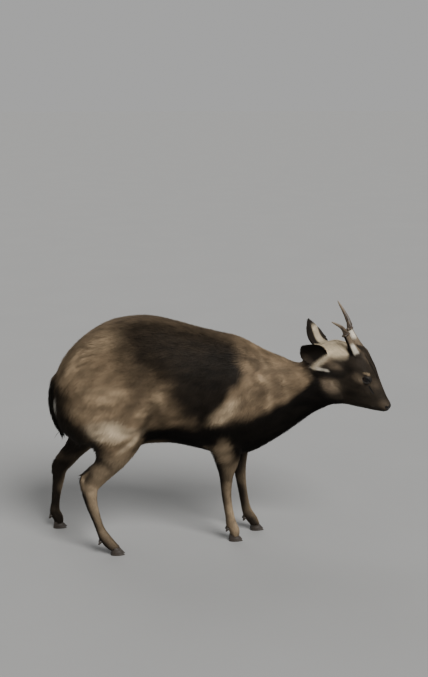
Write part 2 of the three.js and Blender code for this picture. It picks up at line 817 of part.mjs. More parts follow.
// The nape fills the bend between the neck's crest and the back of the skull
const nape = limbForm({
  line: new THREE.CatmullRomCurve3(
    [
      [206, -8, 392],
      [236, -11, 410],
      [260, -13, 440],
      [274, -15, 466],
    ].map(vector),
  ),
  radii: along([
    [34, 38, 30],
    [31, 38, 32],
    [28, 36, 31],
    [22, 30, 26],
  ]),
  count: 8,
  n: 16,
  flow: 24,
});
const trunk = bodyForm(TRUNK, TRUNK_FORM, TRUNK_RINGS, TRUNK_SIDES, 40);
const skull = bodyForm(HEAD, HEAD_FORM, HEAD_RINGS, HEAD_SIDES, 24);
const parts = [trunk, nape, placed(skull, headFrame)];
for (const side of SIDES) {
  parts.push(placed(pedicle(side), headFrame));
  parts.push(...legForms(FORE_AT[side], FORE_GIRTH, side, 22, 26));
  parts.push(...legForms(HIND_AT[side], HIND_GIRTH, side, 26, 40));
}
let whole = flesh(parts);

// Lids, mouth, nostrils and tear pits
for (const side of SIDES) whole = whole.add(inHead(lids(side)));
for (const side of SIDES) {
  const pit = groove(
    [
      [128, 27 * side, 15],
      [138, 25 * side, 10],
      [149, 23.5 * side, 6],
    ],
    1.6,
    3.4,
  );
  const nostril = groove(
    [
      [199, 6.5 * side, -3],
      [196, 10 * side, -6],
      [190, 14 * side, -5],
    ],
    2.1,
    3.4,
  );
  for (const hollow of [pit, nostril, lidOpening(side)])
    whole = whole.subtract(inHead(hollow));
}
const mouth = (side) =>
  groove(
    [
      [204, 1 * side, -14],
      [196, 10 * side, -15.5],
      [182, 16 * side, -18.5],
      [166, 20 * side, -23],
    ],
    0.8,
    4,
  );
for (const side of SIDES) whole = whole.subtract(inHead(mouth(side)));

const eyeball = (side, grow = 0) => {
  const ball = new THREE.SphereGeometry(EYE_R + grow, 14, 9);
  ball.rotateX(Math.PI / 2);
  ball.translate(EYE_AT[0], EYE_AT[1] * side, EYE_AT[2]);
  return inHead(solid(ball));
};

const ears = {};
const EAR_CUT = 3; // height above an ear's base at which it parts from the head
for (const side of SIDES) {
  const frame = earFrame(EAR_POSE[side]);
  const full = ear(EAR_POSE[side], false).transform(frame.elements);
  const room = ear(EAR_POSE[side], true).transform(frame.elements);
  const at = new THREE.Vector3(0, 0, EAR_CUT).applyMatrix4(frame);
  const up = new THREE.Vector3(0, 0, 1).transformDirection(frame);
  const above = at.clone().addScaledVector(up, GAP / 2);
  const below = at.clone().addScaledVector(up, -GAP / 2);
  ears[side] = full.intersect(beyond(above, up));
  whole = whole
    .add(full.intersect(beyond(below, up.clone().negate())))
    .subtract(room.intersect(beyond(below, up)));
}

// The tail hangs against the rump
const tailLine = new THREE.CatmullRomCurve3(
  [
    [-346, 0, 446],
    [-369, 0, 424],
    [-381, 0, 397],
    [-387, 0, 366],
    [-386, 0, 332],
    [-378, 0, 300],
    [-367, 0, 276],
  ].map(vector),
);
const tailFlesh = (grow) => limb({
  line: tailLine,
  radii: (t) => {
    const fade = Math.sqrt(Math.max(0.02, 1 - Math.max(0, (t - 0.55) / 0.45) ** 2));
    const depth = TAIL_HALF_DEPTH * fade + grow;
    const belly = 0.62 + 0.38 * Math.sin(Math.PI * Math.min(1, t * 1.1));
    return [depth, depth, TAIL_HALF_WIDTH * belly * fade + grow];
  },
  count: 12,
  n: 12,
});

whole = whole.subtract(tailFlesh(GAP));

// Hooves and dewclaws, and the sockets that they leave in the flesh
const claws = {};
const feet = { fore: FORE_AT, hind: HIND_AT };
for (const side of SIDES)
  for (const [end, places] of Object.entries(feet)) {
    const { hoof, fetlock } = places[side];
    const heel = new THREE.Vector3(hoof[0], hoof[1] * side, hoof[2]);
    for (const inner of [true, false]) {
      const out = inner ? -side : side;
      const at = heel.clone();
      at.y += out * (HOOF.cleft / 2 + HOOF.width * 0.38);
      const key = `${end}${side}${inner ? "inner" : "outer"}`;
      claws[key] = claw(at, out);
      whole = whole.subtract(claw(at, out, GAP));
      const spur = new THREE.Vector3(
        fetlock[0] - 7,
        fetlock[1] * side + out * 7,
        fetlock[2] - 7,
      );
      const aim = new THREE.Vector3(-0.55, out * 0.25, -0.8).normalize();
      claws[key + "dew"] = dewclaw(spur, aim);
      whole = whole.subtract(dewclaw(spur, aim, GAP));
    }
  }
for (const side of SIDES) whole = whole.subtract(eyeball(side, GAP));

// Thin cuts
const CUTS = {
  neck: { at: vector([112, 0, 350]), normal: new THREE.Vector3(0.95, 0, 0.32) },
  head: { at: vector([262, -15, 382]), normal: new THREE.Vector3(0.755, -0.216, 0.62) },
};
function split(made, { at, normal }) {
  const n = normal.clone().normalize();
  const ahead = at.clone().addScaledVector(n, GAP / 2);
  const behind = at.clone().addScaledVector(n, -GAP / 2);
  return [
    made.intersect(beyond(ahead, n)),
    made.intersect(beyond(behind, n.clone().negate())),
  ];
}
const [front, body] = split(whole, CUTS.neck);
const [headPart, neckPart] = split(front, CUTS.head);

const below = (height, from, to, inside) => {
  const pieces = SIDES.map((side) => {
    const low = side > 0 ? inside : -BIG;
    const high = side > 0 ? BIG : -inside;
    return (grow) =>
      block([from - grow, low - grow, -BIG], [to + grow, high + grow, height + grow]);
  });
  return { [RIGHT]: pieces[0], [LEFT]: pieces[1] };
};
const foreBlocks = below(CUT_FORE, HIND_FROM_X, BIG, 0);
const hindBlocks = below(CUT_HIND, -BIG, HIND_FROM_X, CUT_MIDLINE);
let torso = body;
const legNodes = {};
for (const side of SIDES) {
  legNodes["fore" + side] = largest(body.intersect(foreBlocks[side](-GAP / 2)));
  legNodes["hind" + side] = largest(body.intersect(hindBlocks[side](-GAP / 2)));
  torso = torso
    .subtract(foreBlocks[side](GAP / 2))
    .subtract(hindBlocks[side](GAP / 2));
}
torso = largest(torso);
const tail = tailFlesh(0);

const animal = new THREE.Group();
function add(name, made, material) {
  const mesh = new THREE.Mesh(geometryOf(made), material);
  mesh.name = name;
  animal.add(mesh);
}

add("torso", torso, COAT_DARK);
add("neck", largest(neckPart), COAT_LIGHT);
add("head", largest(headPart), COAT_FACE);
add("tail", tail, COAT_DARK);
for (const side of SIDES) {
  const word = side === RIGHT ? "right" : "left";
  add(`ear_${word}`, largest(ears[side]), COAT_FACE);
  add(`eye_${word}`, eyeball(side), EYE_DARK);
  add(`antler_${word}`, inHead(antler(side)), ANTLER_BONE);
  for (const end of ["fore", "hind"]) {
    add(`${end}leg_${word}`, legNodes[end + side], COAT_LEG);
    for (const which of ["inner", "outer"]) {
      const key = `${end}${side}${which}`;
      add(`hoof_${end}_${word}_${which}`, claws[key], HORN);
      add(`dewclaw_${end}_${word}_${which}`, claws[key + "dew"], HORN);
    }
  }
}

// The origin is on the floor, under the middle of the whole animal
const bounds = new THREE.Box3().setFromObject(animal);
const middle = bounds.getCenter(new THREE.Vector3());
animal.position.set(-middle.x, -middle.y, -bounds.min.z);

export default animal;
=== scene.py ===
"""A muntjac buck in its coat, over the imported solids. Metres, +X forward, +Y the animal's left, +Z up."""

import math

import bmesh
import bpy
import numpy as np
from mathutils import Matrix, Vector


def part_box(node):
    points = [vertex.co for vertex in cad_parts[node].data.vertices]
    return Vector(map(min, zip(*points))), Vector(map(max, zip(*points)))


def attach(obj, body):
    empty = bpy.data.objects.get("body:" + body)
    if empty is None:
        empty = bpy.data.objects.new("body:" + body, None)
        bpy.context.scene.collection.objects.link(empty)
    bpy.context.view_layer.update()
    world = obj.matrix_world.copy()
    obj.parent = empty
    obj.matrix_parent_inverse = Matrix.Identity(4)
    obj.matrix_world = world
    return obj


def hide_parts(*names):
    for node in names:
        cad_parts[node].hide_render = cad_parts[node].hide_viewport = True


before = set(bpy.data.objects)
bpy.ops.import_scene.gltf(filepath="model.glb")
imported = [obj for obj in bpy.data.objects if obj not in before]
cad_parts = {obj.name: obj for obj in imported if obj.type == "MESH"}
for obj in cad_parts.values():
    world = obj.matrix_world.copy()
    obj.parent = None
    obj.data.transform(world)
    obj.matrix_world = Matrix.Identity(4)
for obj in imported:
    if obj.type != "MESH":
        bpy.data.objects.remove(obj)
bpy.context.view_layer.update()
rng = np.random.default_rng(7)

# The making: lengths in metres, shares of the hair's length, and counts of triangles
VOXEL = 0.0015  # of the skin before it is thinned
COARSE_VOXEL = 0.006  # of the smooth body that the trunk is laid on
FINE_VOXEL = 0.0008  # of the antlers and hooves
SWELL = 0.0008  # closes the thin cuts between the solids
EAR_SWELL = 0.0011
COVER = 0.0002  # that the skin of ears and hooves lies inside the solids
TAIL_DEPTH = 0.0035
BURIED = 0.26  # how deep the skin of the rest lies
RAISED = 0.28  # the most that the hair's tips stand off the skin
SKIN_TRIANGLES = 150_000
PIECE_TRIANGLES = 192_000  # most in one piece of the coat

SIDES = {"right": -1, "left": 1}
FLESH = ["torso", "neck", "head", "tail"]
FLESH += [f"{limb}_{side}" for limb in ("ear", "foreleg", "hindleg") for side in SIDES]

# The head's own frame: x along the muzzle, y to the left, z to the forehead
HEAD_TURN, HEAD_BOW, HEAD_ROLL = -16, 36, 5
EYE_PLACE = np.array([0.111, 0.0295, 0.027])
EYE_R = 0.0115
EYE_GAZE = np.array([0.24, 0.96, 0.14])
LID_OPEN = {"half_length": 0.0102, "half_height": 0.0066, "tilt": 6, "ahead": 0.001}
TEAR_PIT = [(0.128, 0.027, 0.015), (0.138, 0.025, 0.01), (0.149, 0.0235, 0.006)]
NOSTRIL = [(0.2, 0.0055, -0.001), (0.197, 0.0095, -0.005), (0.191, 0.0135, -0.0045)]
MOUTH = [(0.205, 0.0, -0.014), (0.196, 0.01, -0.0155), (0.182, 0.016, -0.0185), (0.164, 0.0205, -0.0235)]
BROW_LINE = [(0.132, 0.009, 0.04), (0.105, 0.014, 0.055), (0.078, 0.019, 0.068)]
EAR_POSES = {
    "right": {"at": (0.008, -0.037, -0.007), "tip": (-0.072, -0.043, 0.021), "open": (0.25, -0.9, -0.1)},
    "left": {"at": (-0.0095, 0.035, 0.0085), "tip": (-0.074, 0.03, 0.013), "open": (0.02, -0.36, 0.93)},
}
EAR_POSES["right"] |= {"length": 0.08, "wide": 1.2, "pale": (0.85, 1.3), "pale_to": 0.0, "pale_root": 0.06}
EAR_POSES["left"] |= {"length": 0.078, "wide": 1.1, "pale": (0.14, 0.72), "pale_to": 0.88, "pale_root": 0.12}
EAR_HALF_WIDTH = 0.025
PEDICLE = np.array([(0.064, 0.023, 0.054), (0.012, 0.026, 0.08)])
OVER_EYE = [(0.098, 0.043, 0.037), (0.104, 0.04, 0.041), (0.112, 0.034, 0.042)]
CHEEK_BAND = [
    (0.061, 0.043, 0.003), (0.035, 0.047, -0.014), (0.014, 0.046, -0.028), (0.018, 0.048, -0.044),
    (0.042, 0.053, -0.062), (0.07, 0.047, -0.07), (0.1, 0.025, -0.06),
]
EAR_FRINGE = [(-0.008, 0.041, -0.029), (0.003, 0.043, -0.024), (0.016, 0.046, -0.017), (0.028, 0.046, -0.01)]
CROWN_FRONT = [(0.02, 0.055), (0.04, 0.051), (0.05, 0.044), (0.06, 0.032), (0.075, 0.012)]

# The body's outline from the side, for what changes from back to belly
BACK_LINE = [
    (-0.38, 0.4), (-0.33, 0.49), (-0.25, 0.548), (-0.15, 0.559), (0, 0.52), (0.1, 0.485), (0.2, 0.44),
    (0.27, 0.43),
]
BELLY_LINE = [
    (-0.38, 0.3), (-0.3, 0.25), (-0.1, 0.247), (0, 0.22), (0.06, 0.214), (0.13, 0.238), (0.2, 0.29),
    (0.27, 0.334),
]
CUT_FORE, CUT_HIND = 0.207, 0.246
HIND_FROM_X = -0.12
TAIL_LINE = [
    (-0.351, 0.446), (-0.374, 0.424), (-0.386, 0.397), (-0.392, 0.366), (-0.391, 0.332), (-0.383, 0.3),
    (-0.372, 0.276),
]
TAIL_HALF_WIDTH = 0.015
THROAT, THROAT_REACH = (0.295, -0.01, 0.352), (0.035, 0.11, 0.07)  # where the neck runs into the jaw
TAIL_SLIVER, SLIVER_REACH = (-0.374, 0.026, 0.36), (0.022, 0.013, 0.026)  # white hair beside the tail


def turned(degrees, axis):
    return np.array(Matrix.Rotation(math.radians(degrees), 3, axis))


HEAD_AXES = turned(HEAD_TURN, "Z") @ turned(HEAD_BOW, "Y") @ turned(HEAD_ROLL, "X")


def box_centre(node):
    low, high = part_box(node)
    return np.array((low + high) / 2)


HEAD_AT = (box_centre("eye_right") + box_centre("eye_left")) / 2
HEAD_AT = HEAD_AT - HEAD_AXES @ (EYE_PLACE * (1, 0, 1))
MOVED = HEAD_AT - np.array([0.263, -0.014, 0.459])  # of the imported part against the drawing's numbers


def in_head(points):
    return (points - HEAD_AT) @ HEAD_AXES


def from_head(points):
    return np.asarray(points, float) @ HEAD_AXES.T + HEAD_AT


def unit(v):
    return v / np.maximum(np.linalg.norm(v, axis=-1, keepdims=True), 1e-9)


def ear_axes(side):
    """The ear's axes as columns (the way it opens, across it, to its tip) and the place of its root."""
    pose = EAR_POSES[side]
    tip = unit(np.array(pose["tip"], float))
    opening = np.array(pose["open"], float)
    opening = unit(opening - tip * (opening @ tip))
    across = np.cross(tip, opening)
    return HEAD_AXES @ np.stack([opening, across, tip], axis=1), from_head(pose["at"])


def in_ear(points, side):
    axes, at = ear_axes(side)
    return (points - at) @ axes


def ramp(x, low, high):
    """0 below low and 1 above high, smooth between them."""
    t = np.clip((x - low) / (high - low), 0, 1)
    return t * t * (3 - 2 * t)


def value_noise(points, cell, seed=0):
    """Smooth noise from 0 to 1 with one value for each corner of a lattice."""
    at = points / cell
    corner = np.floor(at).astype(np.int64)
    t = at - corner
    t = t * t * (3 - 2 * t)
    total = 0
    for k in range(8):
        step = np.array([k & 1, k >> 1 & 1, k >> 2 & 1])
        c = corner + step
        mixed = (c[:, 0] * 73856093) ^ (c[:, 1] * 19349663) ^ (c[:, 2] * 83492791) ^ (seed * 2654435761)
        mixed = (mixed ^ (mixed >> 13)) * 1274126177
        value = ((mixed ^ (mixed >> 16)) & 0xFFFF) / 0xFFFF
        share = np.where(step, t, 1 - t).prod(axis=1)
        total = total + value * share
    return total


def to_line(points, line):
    """The distance of each point to a line, and how far along it is. A line of (x, z) is in side view."""
    line = np.asarray(line, float)
    if line.shape[1] == 2:
        points, line = points * (1, 0, 1), np.insert(line, 1, 0, axis=1)
    best, along = np.full(len(points), 1e9), np.zeros(len(points))
    spans = len(line) - 1
    for k in range(spans):
        a, b = line[k], line[k + 1]
        t = np.clip((points - a) @ (b - a) / ((b - a) @ (b - a)), 0, 1)
        d = norm(points - a - t[:, None] * (b - a))
        nearer = d < best
        best = np.where(nearer, d, best)
        along = np.where(nearer, (k + t) / spans, along)
    return best, along


def near(points, line, far, close, loose=0.0):
    """1 within close of a line and 0 beyond far."""
    return ramp(loose - to_line(points, line)[0], -far, -close)


def at_line(x, line):
    """The height of a line of (place, height) at each x."""
    return np.interp(x, *np.array(line).T)


def norm(v):
    return np.linalg.norm(v, axis=-1)


# Where each part of the body is


def past_plane(points, at, normal, width):
    normal = unit(np.array(normal, float))
    return ramp((points - at - MOVED) @ normal, -width, width)


def ear_share(points, side):
    local = in_ear(points, side)
    up = local[:, 2]
    reach = np.interp(up, [0, 0.02, 0.04], [0.027, 0.034, 0.04])
    beside = ramp(reach - norm(local[:, :2]), 0, 0.005)
    return ramp(up, -0.003, 0.006) * beside * ramp(-up, -0.11, -0.1)


def shares(points):
    """How far each point belongs to each part of the body, from 0 to 1, smooth where they meet."""
    x, _, z = points.T
    head = past_plane(points, (0.262, -0.015, 0.382), (0.755, -0.216, 0.62), 0.012)
    neck = past_plane(points, (0.112, 0, 0.35), (0.95, 0, 0.32), 0.03)
    fore = ramp(-z, -CUT_FORE - 0.03, -CUT_FORE + 0.02) * (x > HIND_FROM_X)
    hind = ramp(-z, -CUT_HIND - 0.035, -CUT_HIND + 0.02) * (x < HIND_FROM_X)
    away, along = to_line(points * (1, 0.62, 1), np.insert(TAIL_LINE, 1, 0, axis=1))
    tail = ramp(-away, -0.0135, -0.0095) * ramp(along, 0.05, 0.3)
    ears = {side: ear_share(points, side) * head for side in SIDES}
    return {"head": head, "neck": neck, "fore": fore, "hind": hind, "tail": tail, "ears": ears}


def relief(points, normals):
    """How far the muscles and folds under the coat stand out, or in where it is less than 0."""
    x, _, z = points.T
    side_on = np.abs(normals[:, 1]) * (1 - shares(points)["head"])
    out = np.zeros(len(x))
    for height, middle, halves, tilt in MUSCLES:
        out += height * tilted_spot(x, z, middle, halves, tilt)
    for depth, width, line in HOLLOWS:
        away, along = to_line(points, line)
        out -= depth * np.exp(-((away / width) ** 2)) * np.sqrt(np.sin(np.pi * (0.03 + 0.94 * along)))
    return out * side_on


def level_of(points):
    """0 at the belly line and 1 at the back line."""
    x, _, z = points.T
    low = np.interp(x, *np.array(BELLY_LINE).T)
    high = np.interp(x, *np.array(BACK_LINE).T)
    return (z - low) / (high - low)


def bare(points):
    """How far the skin is bare there: the nose, the rims of the eyes and the pits below them."""
    head = in_head(points)
    mirror = both_sides(head)
    nose = norm((mirror - (0.198, 0, -0.005)) / (0.0105, 0.0145, 0.0105))
    nose = ramp(-nose, -1.08, -0.94) * ramp(mirror[:, 2], -0.0155, -0.0135)
    nostril = near(mirror, NOSTRIL, 0.0042, 0.003)
    lips = near(mirror, MOUTH, 0.0022, 0.001)
    pit = near(mirror, TEAR_PIT, 0.003, 0.0016)
    eye = mirror - EYE_PLACE
    rim = ramp(-norm(eye * (0.9, 1, 1.25)), -0.0142, -0.0128)
    return np.max([nose, nostril, lips, pit, rim], axis=0)


# The coat's markings, in colours of the species' browns, with painted light and shade in places


def brown(red, green, blue):
    """A screen colour from 0 to 255 as the light that it stands for."""
    c = np.array([red, green, blue]) / 255
    return np.where(c <= 0.04045, c / 12.92, ((c + 0.055) / 1.055) ** 2.4)


BLACKISH = brown(19, 16, 13)
SADDLE = brown(40, 33, 25)
# A dark brown, laid on as darker hair in some places and as painted shade in folds, hollows and under the
# neck.
SHADE_AND_DARK_HAIR = brown(84, 71, 56)
FLANK = brown(102, 87, 69)
BODY = brown(122, 104, 82)
LIGHT = brown(152, 132, 106)
# The thigh's pale hair, made brighter still as painted sheen.
THIGH_AND_SHEEN = brown(198, 179, 151)
SHOULDER_PALE = brown(184, 163, 134)
LEG = brown(158, 138, 112)
LEG_DARK = brown(38, 32, 26)
FACE = brown(50, 43, 35)
FACE_GREY = brown(112, 98, 81)
# The crown's paler hair, brightened as painted sunlight on the top of the head.
CROWN = brown(198, 181, 152)
PALE = brown(226, 216, 198)
EAR_BACK = brown(62, 53, 43)
# The ear's inside: dark skin, darkened further as painted shade in the hollow.
EAR_SKIN_AND_SHADE = brown(34, 29, 24)
EAR_WALL = brown(56, 48, 39)
EAR_HAIR = brown(196, 181, 155)
TAIL_TOP = brown(22, 19, 15)
TAIL_WHITE = brown(236, 230, 218)
BARE_SKIN = brown(22, 19, 17)

# Where the saddle ends in front at each height, and how far down it reaches at each place along the back
SADDLE_FRONT = [(0.3, -0.022), (0.345, -0.01), (0.4, 0.028), (0.431, 0.058), (0.469, 0.06), (0.5, 0.047)]
SADDLE_LOW = [
    (-0.245, 0.56), (-0.228, 0.5), (-0.213, 0.458), (-0.18, 0.436), (-0.112, 0.42), (-0.088, 0.352),
    (-0.06, 0.3),
]
BELLY_TOP = [(-0.19, 0.255), (-0.165, 0.315), (-0.12, 0.318), (-0.06, 0.317), (0.0, 0.32), (0.04, 0.314)]
# Where the rump darkens behind at each height: partly dark hair round the tail, partly painted shade on the
# side away from the key lamp.
RUMP_DARK_AND_SHADE = [
    (0.23, -0.25), (0.27, -0.262), (0.3, -0.292), (0.33, -0.312), (0.345, -0.345), (0.375, -0.352),
    (0.39, -0.34), (0.415, -0.368), (0.44, -0.4),
]
# How high up the sides the throat and lower neck darken: partly dark hair, partly painted shade under the
# neck.
THROAT_TOP = [
    (-0.02, 0.28), (0.0, 0.32), (0.03, 0.39), (0.06, 0.43), (0.12, 0.44), (0.17, 0.5), (0.21, 0.65),
    (0.24, 0.86), (0.27, 1.1),
]
STREAK, WANDER, MOTTLE = 0.5, 0.3, 0.75  # how much the coat's fine, broad and middling spots count
RUMP_STREAK = [(-0.375, 0.425), (-0.332, 0.474), (-0.297, 0.498), (-0.262, 0.513), (-0.225, 0.524)]
FOLD = [(-0.155, 0.345), (-0.164, 0.324), (-0.177, 0.293), (-0.195, 0.262)]

# What stands out on each side of the body: height, middle (x, z), half length and height, and tilt
MUSCLES = [
    (0.0025, (-0.25, 0.31), (0.05, 0.03), -12),
    (0.002, (-0.285, 0.405), (0.05, 0.035), 10),
    (0.0022, (0.03, 0.4), (0.06, 0.02), 70),
    (0.0025, (0.058, 0.322), (0.026, 0.024), 0),
    (0.002, (-0.002, 0.325), (0.026, 0.034), 30),
]
# What sinks in: depth, half width and line
HOLLOWS = [
    (0.0032, 0.015, FOLD),
    (0.003, 0.022, [(-0.15, 0.47), (-0.165, 0.43), (-0.16, 0.39)]),
    (0.0035, 0.014, [(-0.04, 0.43), (-0.044, 0.38), (-0.036, 0.33), (-0.026, 0.29)]),
    (0.0022, 0.012, [(0.07, 0.44), (0.078, 0.39), (0.088, 0.35)]),
    (0.0016, 0.008, [(0.118, 0.445), (0.124, 0.4), (0.132, 0.36)]),
    (0.0016, 0.008, [(0.148, 0.43), (0.154, 0.395), (0.162, 0.36)]),
    (0.003, 0.01, [(-0.3, 0.275), (-0.275, 0.262), (-0.245, 0.25)]),
]

# Light and dark places on each side of the body, some of them painted light and shade: colour, middle (x,
# z), half length and height, tilt, share
PLACES = [
    (SHADE_AND_DARK_HAIR, (-0.29, 0.436), (0.085, 0.012), 3, 0.1),
    (LIGHT, (-0.315, 0.445), (0.04, 0.024), 20, 0.4),
    (LIGHT, (-0.263, 0.402), (0.062, 0.018), -3, 1.0),
    (FLANK, (-0.15, 0.375), (0.05, 0.07), 0, 0.9),
    # Painted shade in the hollow in front of the thigh.
    (SHADE_AND_DARK_HAIR, (-0.19, 0.395), (0.014, 0.05), -14, 0.6),
    (LIGHT, (-0.165, 0.357), (0.016, 0.012), 20, 0.6),
    (LIGHT, (-0.134, 0.382), (0.016, 0.03), 0, 0.8),
    (LIGHT, (-0.29, 0.365), (0.05, 0.018), -8, 0.6),
    (SHADE_AND_DARK_HAIR, (-0.235, 0.34), (0.04, 0.012), -5, 0.4),
    # The thigh's pale hair, brightened as painted sheen.
    (THIGH_AND_SHEEN, (-0.25, 0.316), (0.052, 0.017), -10, 1.0),
    (THIGH_AND_SHEEN, (-0.195, 0.288), (0.036, 0.008), 42, 0.6),
    (SHOULDER_PALE, (0.014, 0.349), (0.046, 0.022), 36, 1.0),
    # Light ridges and dark folds down the neck: painted light and shade of the folds.
    (LIGHT, (0.072, 0.4), (0.014, 0.04), 15, 0.35),
    (SHADE_AND_DARK_HAIR, (0.096, 0.405), (0.005, 0.05), 10, 0.6),
    (LIGHT, (0.119, 0.4), (0.009, 0.06), 8, 0.8),
    (SHADE_AND_DARK_HAIR, (0.143, 0.4), (0.006, 0.05), 8, 0.45),
    (LIGHT, (0.166, 0.395), (0.007, 0.045), 8, 0.5),
    (SHADE_AND_DARK_HAIR, (0.088, 0.455), (0.016, 0.014), 0, 0.5),
    # Painted shade along the lower side of the neck.
    (SHADE_AND_DARK_HAIR, (0.1, 0.378), (0.06, 0.018), 14, 0.5),
    (SHADE_AND_DARK_HAIR, (0.06, 0.385), (0.014, 0.03), -20, 0.35),
]
FACE_PLACES = [
    (FACE_GREY, (0.055, 0.048, -0.033), (0.036, 0.07, 0.025), 0.95),
    (FACE_GREY, (0.04, 0.044, 0.006), (0.03, 0.05, 0.016), 0.6),
    (FACE_GREY, (0.097, 0.045, 0.02), (0.026, 0.04, 0.015), 0.75),
    (FACE_GREY, (0.136, 0.026, 0.026), (0.028, 0.03, 0.014), 0.28),
    (FACE_GREY, (0.185, 0.015, -0.002), (0.024, 0.022, 0.016), 0.4),
    (BLACKISH, (0.068, 0.036, 0.022), (0.024, 0.04, 0.016), 0.75),
    (BLACKISH, (0.112, 0.038, -0.024), (0.034, 0.04, 0.018), 0.5),
    (FACE_GREY, (0.085, 0.02, 0.066), (0.03, 0.012, 0.016), 0.45),
]


def over(below, colour, share):
    return below + (colour - below) * np.asarray(share)[:, None]


def plain(colour, points):
    return np.tile(colour, (len(points), 1))


def layered(tone, *layers):
    """A tone with others laid over it in turn, each with its share."""
    for upper, share in layers:
        tone = over(tone, upper, share)
    return tone


def toward(a, b, share):
    return a + (b - a) * share


def spot(points, at, reach):
    """1 at a place and falling smoothly to 0 at its reach along each axis."""
    return ramp(-norm((points - at) / reach), -1, -0.25)


def tilted_spot(x, z, middle, halves, tilt):
    """1 inside a tilted oval of the side view, falling smoothly to 0 half as far out again."""
    turn = math.radians(tilt)
    u = (x - middle[0]) * math.cos(turn) + (z - middle[1]) * math.sin(turn)
    v = (z - middle[1]) * math.cos(turn) - (x - middle[0]) * math.sin(turn)
    return ramp(-np.hypot(u / halves[0], v / halves[1]), -1.5, -0.5)


def both_sides(points):
    """The points with the left side laid on the right one, as far out as they are."""
    return np.column_stack([points[:, 0], np.abs(points[:, 1]), points[:, 2]])


def body_colour(points, wander, streak):
    x, y, z = points.T
    level = level_of(points)
    loose = 0.03 * wander + 0.016 * streak
    uneven = np.clip(0.95 + 1.1 * streak, 0.2, 1)
    colour = over(plain(BODY, points), LIGHT, 0.9 * near(points, RUMP_STREAK, 0.03, 0.008, 0.3 * loose))
    for tone, middle, halves, tilt, share in PLACES:
        there = tilted_spot(x + 0.9 * loose, z + 0.7 * loose, middle, halves, tilt)
        colour = over(colour, tone, share * there * uneven)
    inward = to_line(points, SADDLE_LOW)[0] * np.sign(z - at_line(x, SADDLE_LOW)) + 1.3 * loose
    soft = np.interp(x, [-0.2, -0.1], [0.044, 0.028])
    saddle = ramp(inward / soft, -1, 1) * ramp(at_line(z, SADDLE_FRONT) - x + loose, -0.022, 0.016)
    deep = ramp(x + loose, -0.16, -0.03) * ramp(0.5 - z + loose, -0.02, 0.06)
    # The belly's underside, darkened: partly dark hair, partly painted shade.
    under = ramp(at_line(x, BELLY_TOP) - z + 0.6 * loose, -0.014, 0.012) * ramp(-x, -0.05, -0.01)
    # The rump's rear, darkened: partly dark hair, partly painted shade.
    behind = ramp(at_line(z, RUMP_DARK_AND_SHADE) - x + 0.7 * loose, -0.022, 0.018)
    # The throat and lower neck, darkened: partly dark hair, partly painted shade.
    throat = ramp(at_line(x, THROAT_TOP) - level + 1.6 * loose, -0.06, 0.06)
    upper_arm = tilted_spot(x + loose, z, (0.016, 0.248), (0.021, 0.034), 0)
    return layered(
        colour,
        (over(plain(SADDLE, points), BLACKISH, deep), 0.97 * saddle),
        (BLACKISH, under * ramp(x + 0.5 * loose, -0.2, -0.16)),
        # Painted shade in the fold in front of the hind leg.
        (SHADE_AND_DARK_HAIR, 0.6 * tilted_spot(x + loose, z, (-0.138, 0.267), (0.034, 0.01), 0)),
        (over(plain(SADDLE, points), BLACKISH, ramp(0.36 - z + loose, -0.02, 0.03)), 0.95 * behind),
        # Painted shadow along the flank fold.
        (BLACKISH, 0.55 * near(points, FOLD, 0.014, 0.002, 0.2 * loose)),
        (BLACKISH, throat * ramp(x, -0.03, 0.02)),
        (LEG, 0.6 * upper_arm * ramp(np.abs(y), 0.035, 0.06)),
        # Painted reflection of the sky along the top of the back.
        (BODY, 0.35 * ramp(level, 0.93, 1.0) * ramp(-x, -0.2, -0.02)),
        (SHADE_AND_DARK_HAIR, 0.5 * ramp(level + loose, 0.9, 1.0) * ramp(-x, 0.18, 0.24)),
    )


def leg_colour(points, normals, fore, wander):
    """Dark legs with painted light: grey-brown where they face outward and forward, toward the key lamp, and
    nearly black inside and behind, in painted shade.
    """
    x, y, z = points.T
    outside = 0.5 + 0.5 * normals[:, 1] * np.sign(y)
    forward = (0.15 + (0.65 - 0.3 * fore) * outside) * normals[:, 0]
    lit = np.clip(0.6 * outside - 0.04 + forward + 0.8 * wander, 0, 1)
    lit = lit * (1 - 0.3 * fore * ramp(z, 0.12, 0.18) * ramp(-z, -0.25, -0.22))
    lit = lit * (1 - 0.6 * (1 - fore) * ramp(-z, -0.13, -0.05))
    hock = (1 - fore) * outside * tilted_spot(x, z, (-0.272, 0.208), (0.022, 0.026), 0)
    colour = over(plain(LEG_DARK, points), LEG, np.maximum(lit, 0.75 * hock))
    # Painted highlight on the outside of the forelegs, low down near the fetlocks.
    colour = over(colour, LIGHT, 0.45 * fore * ramp(-z, -0.11, -0.04) * outside)
    return over(colour, LEG_DARK, 0.4 * ramp(-z, -0.035, -0.015))


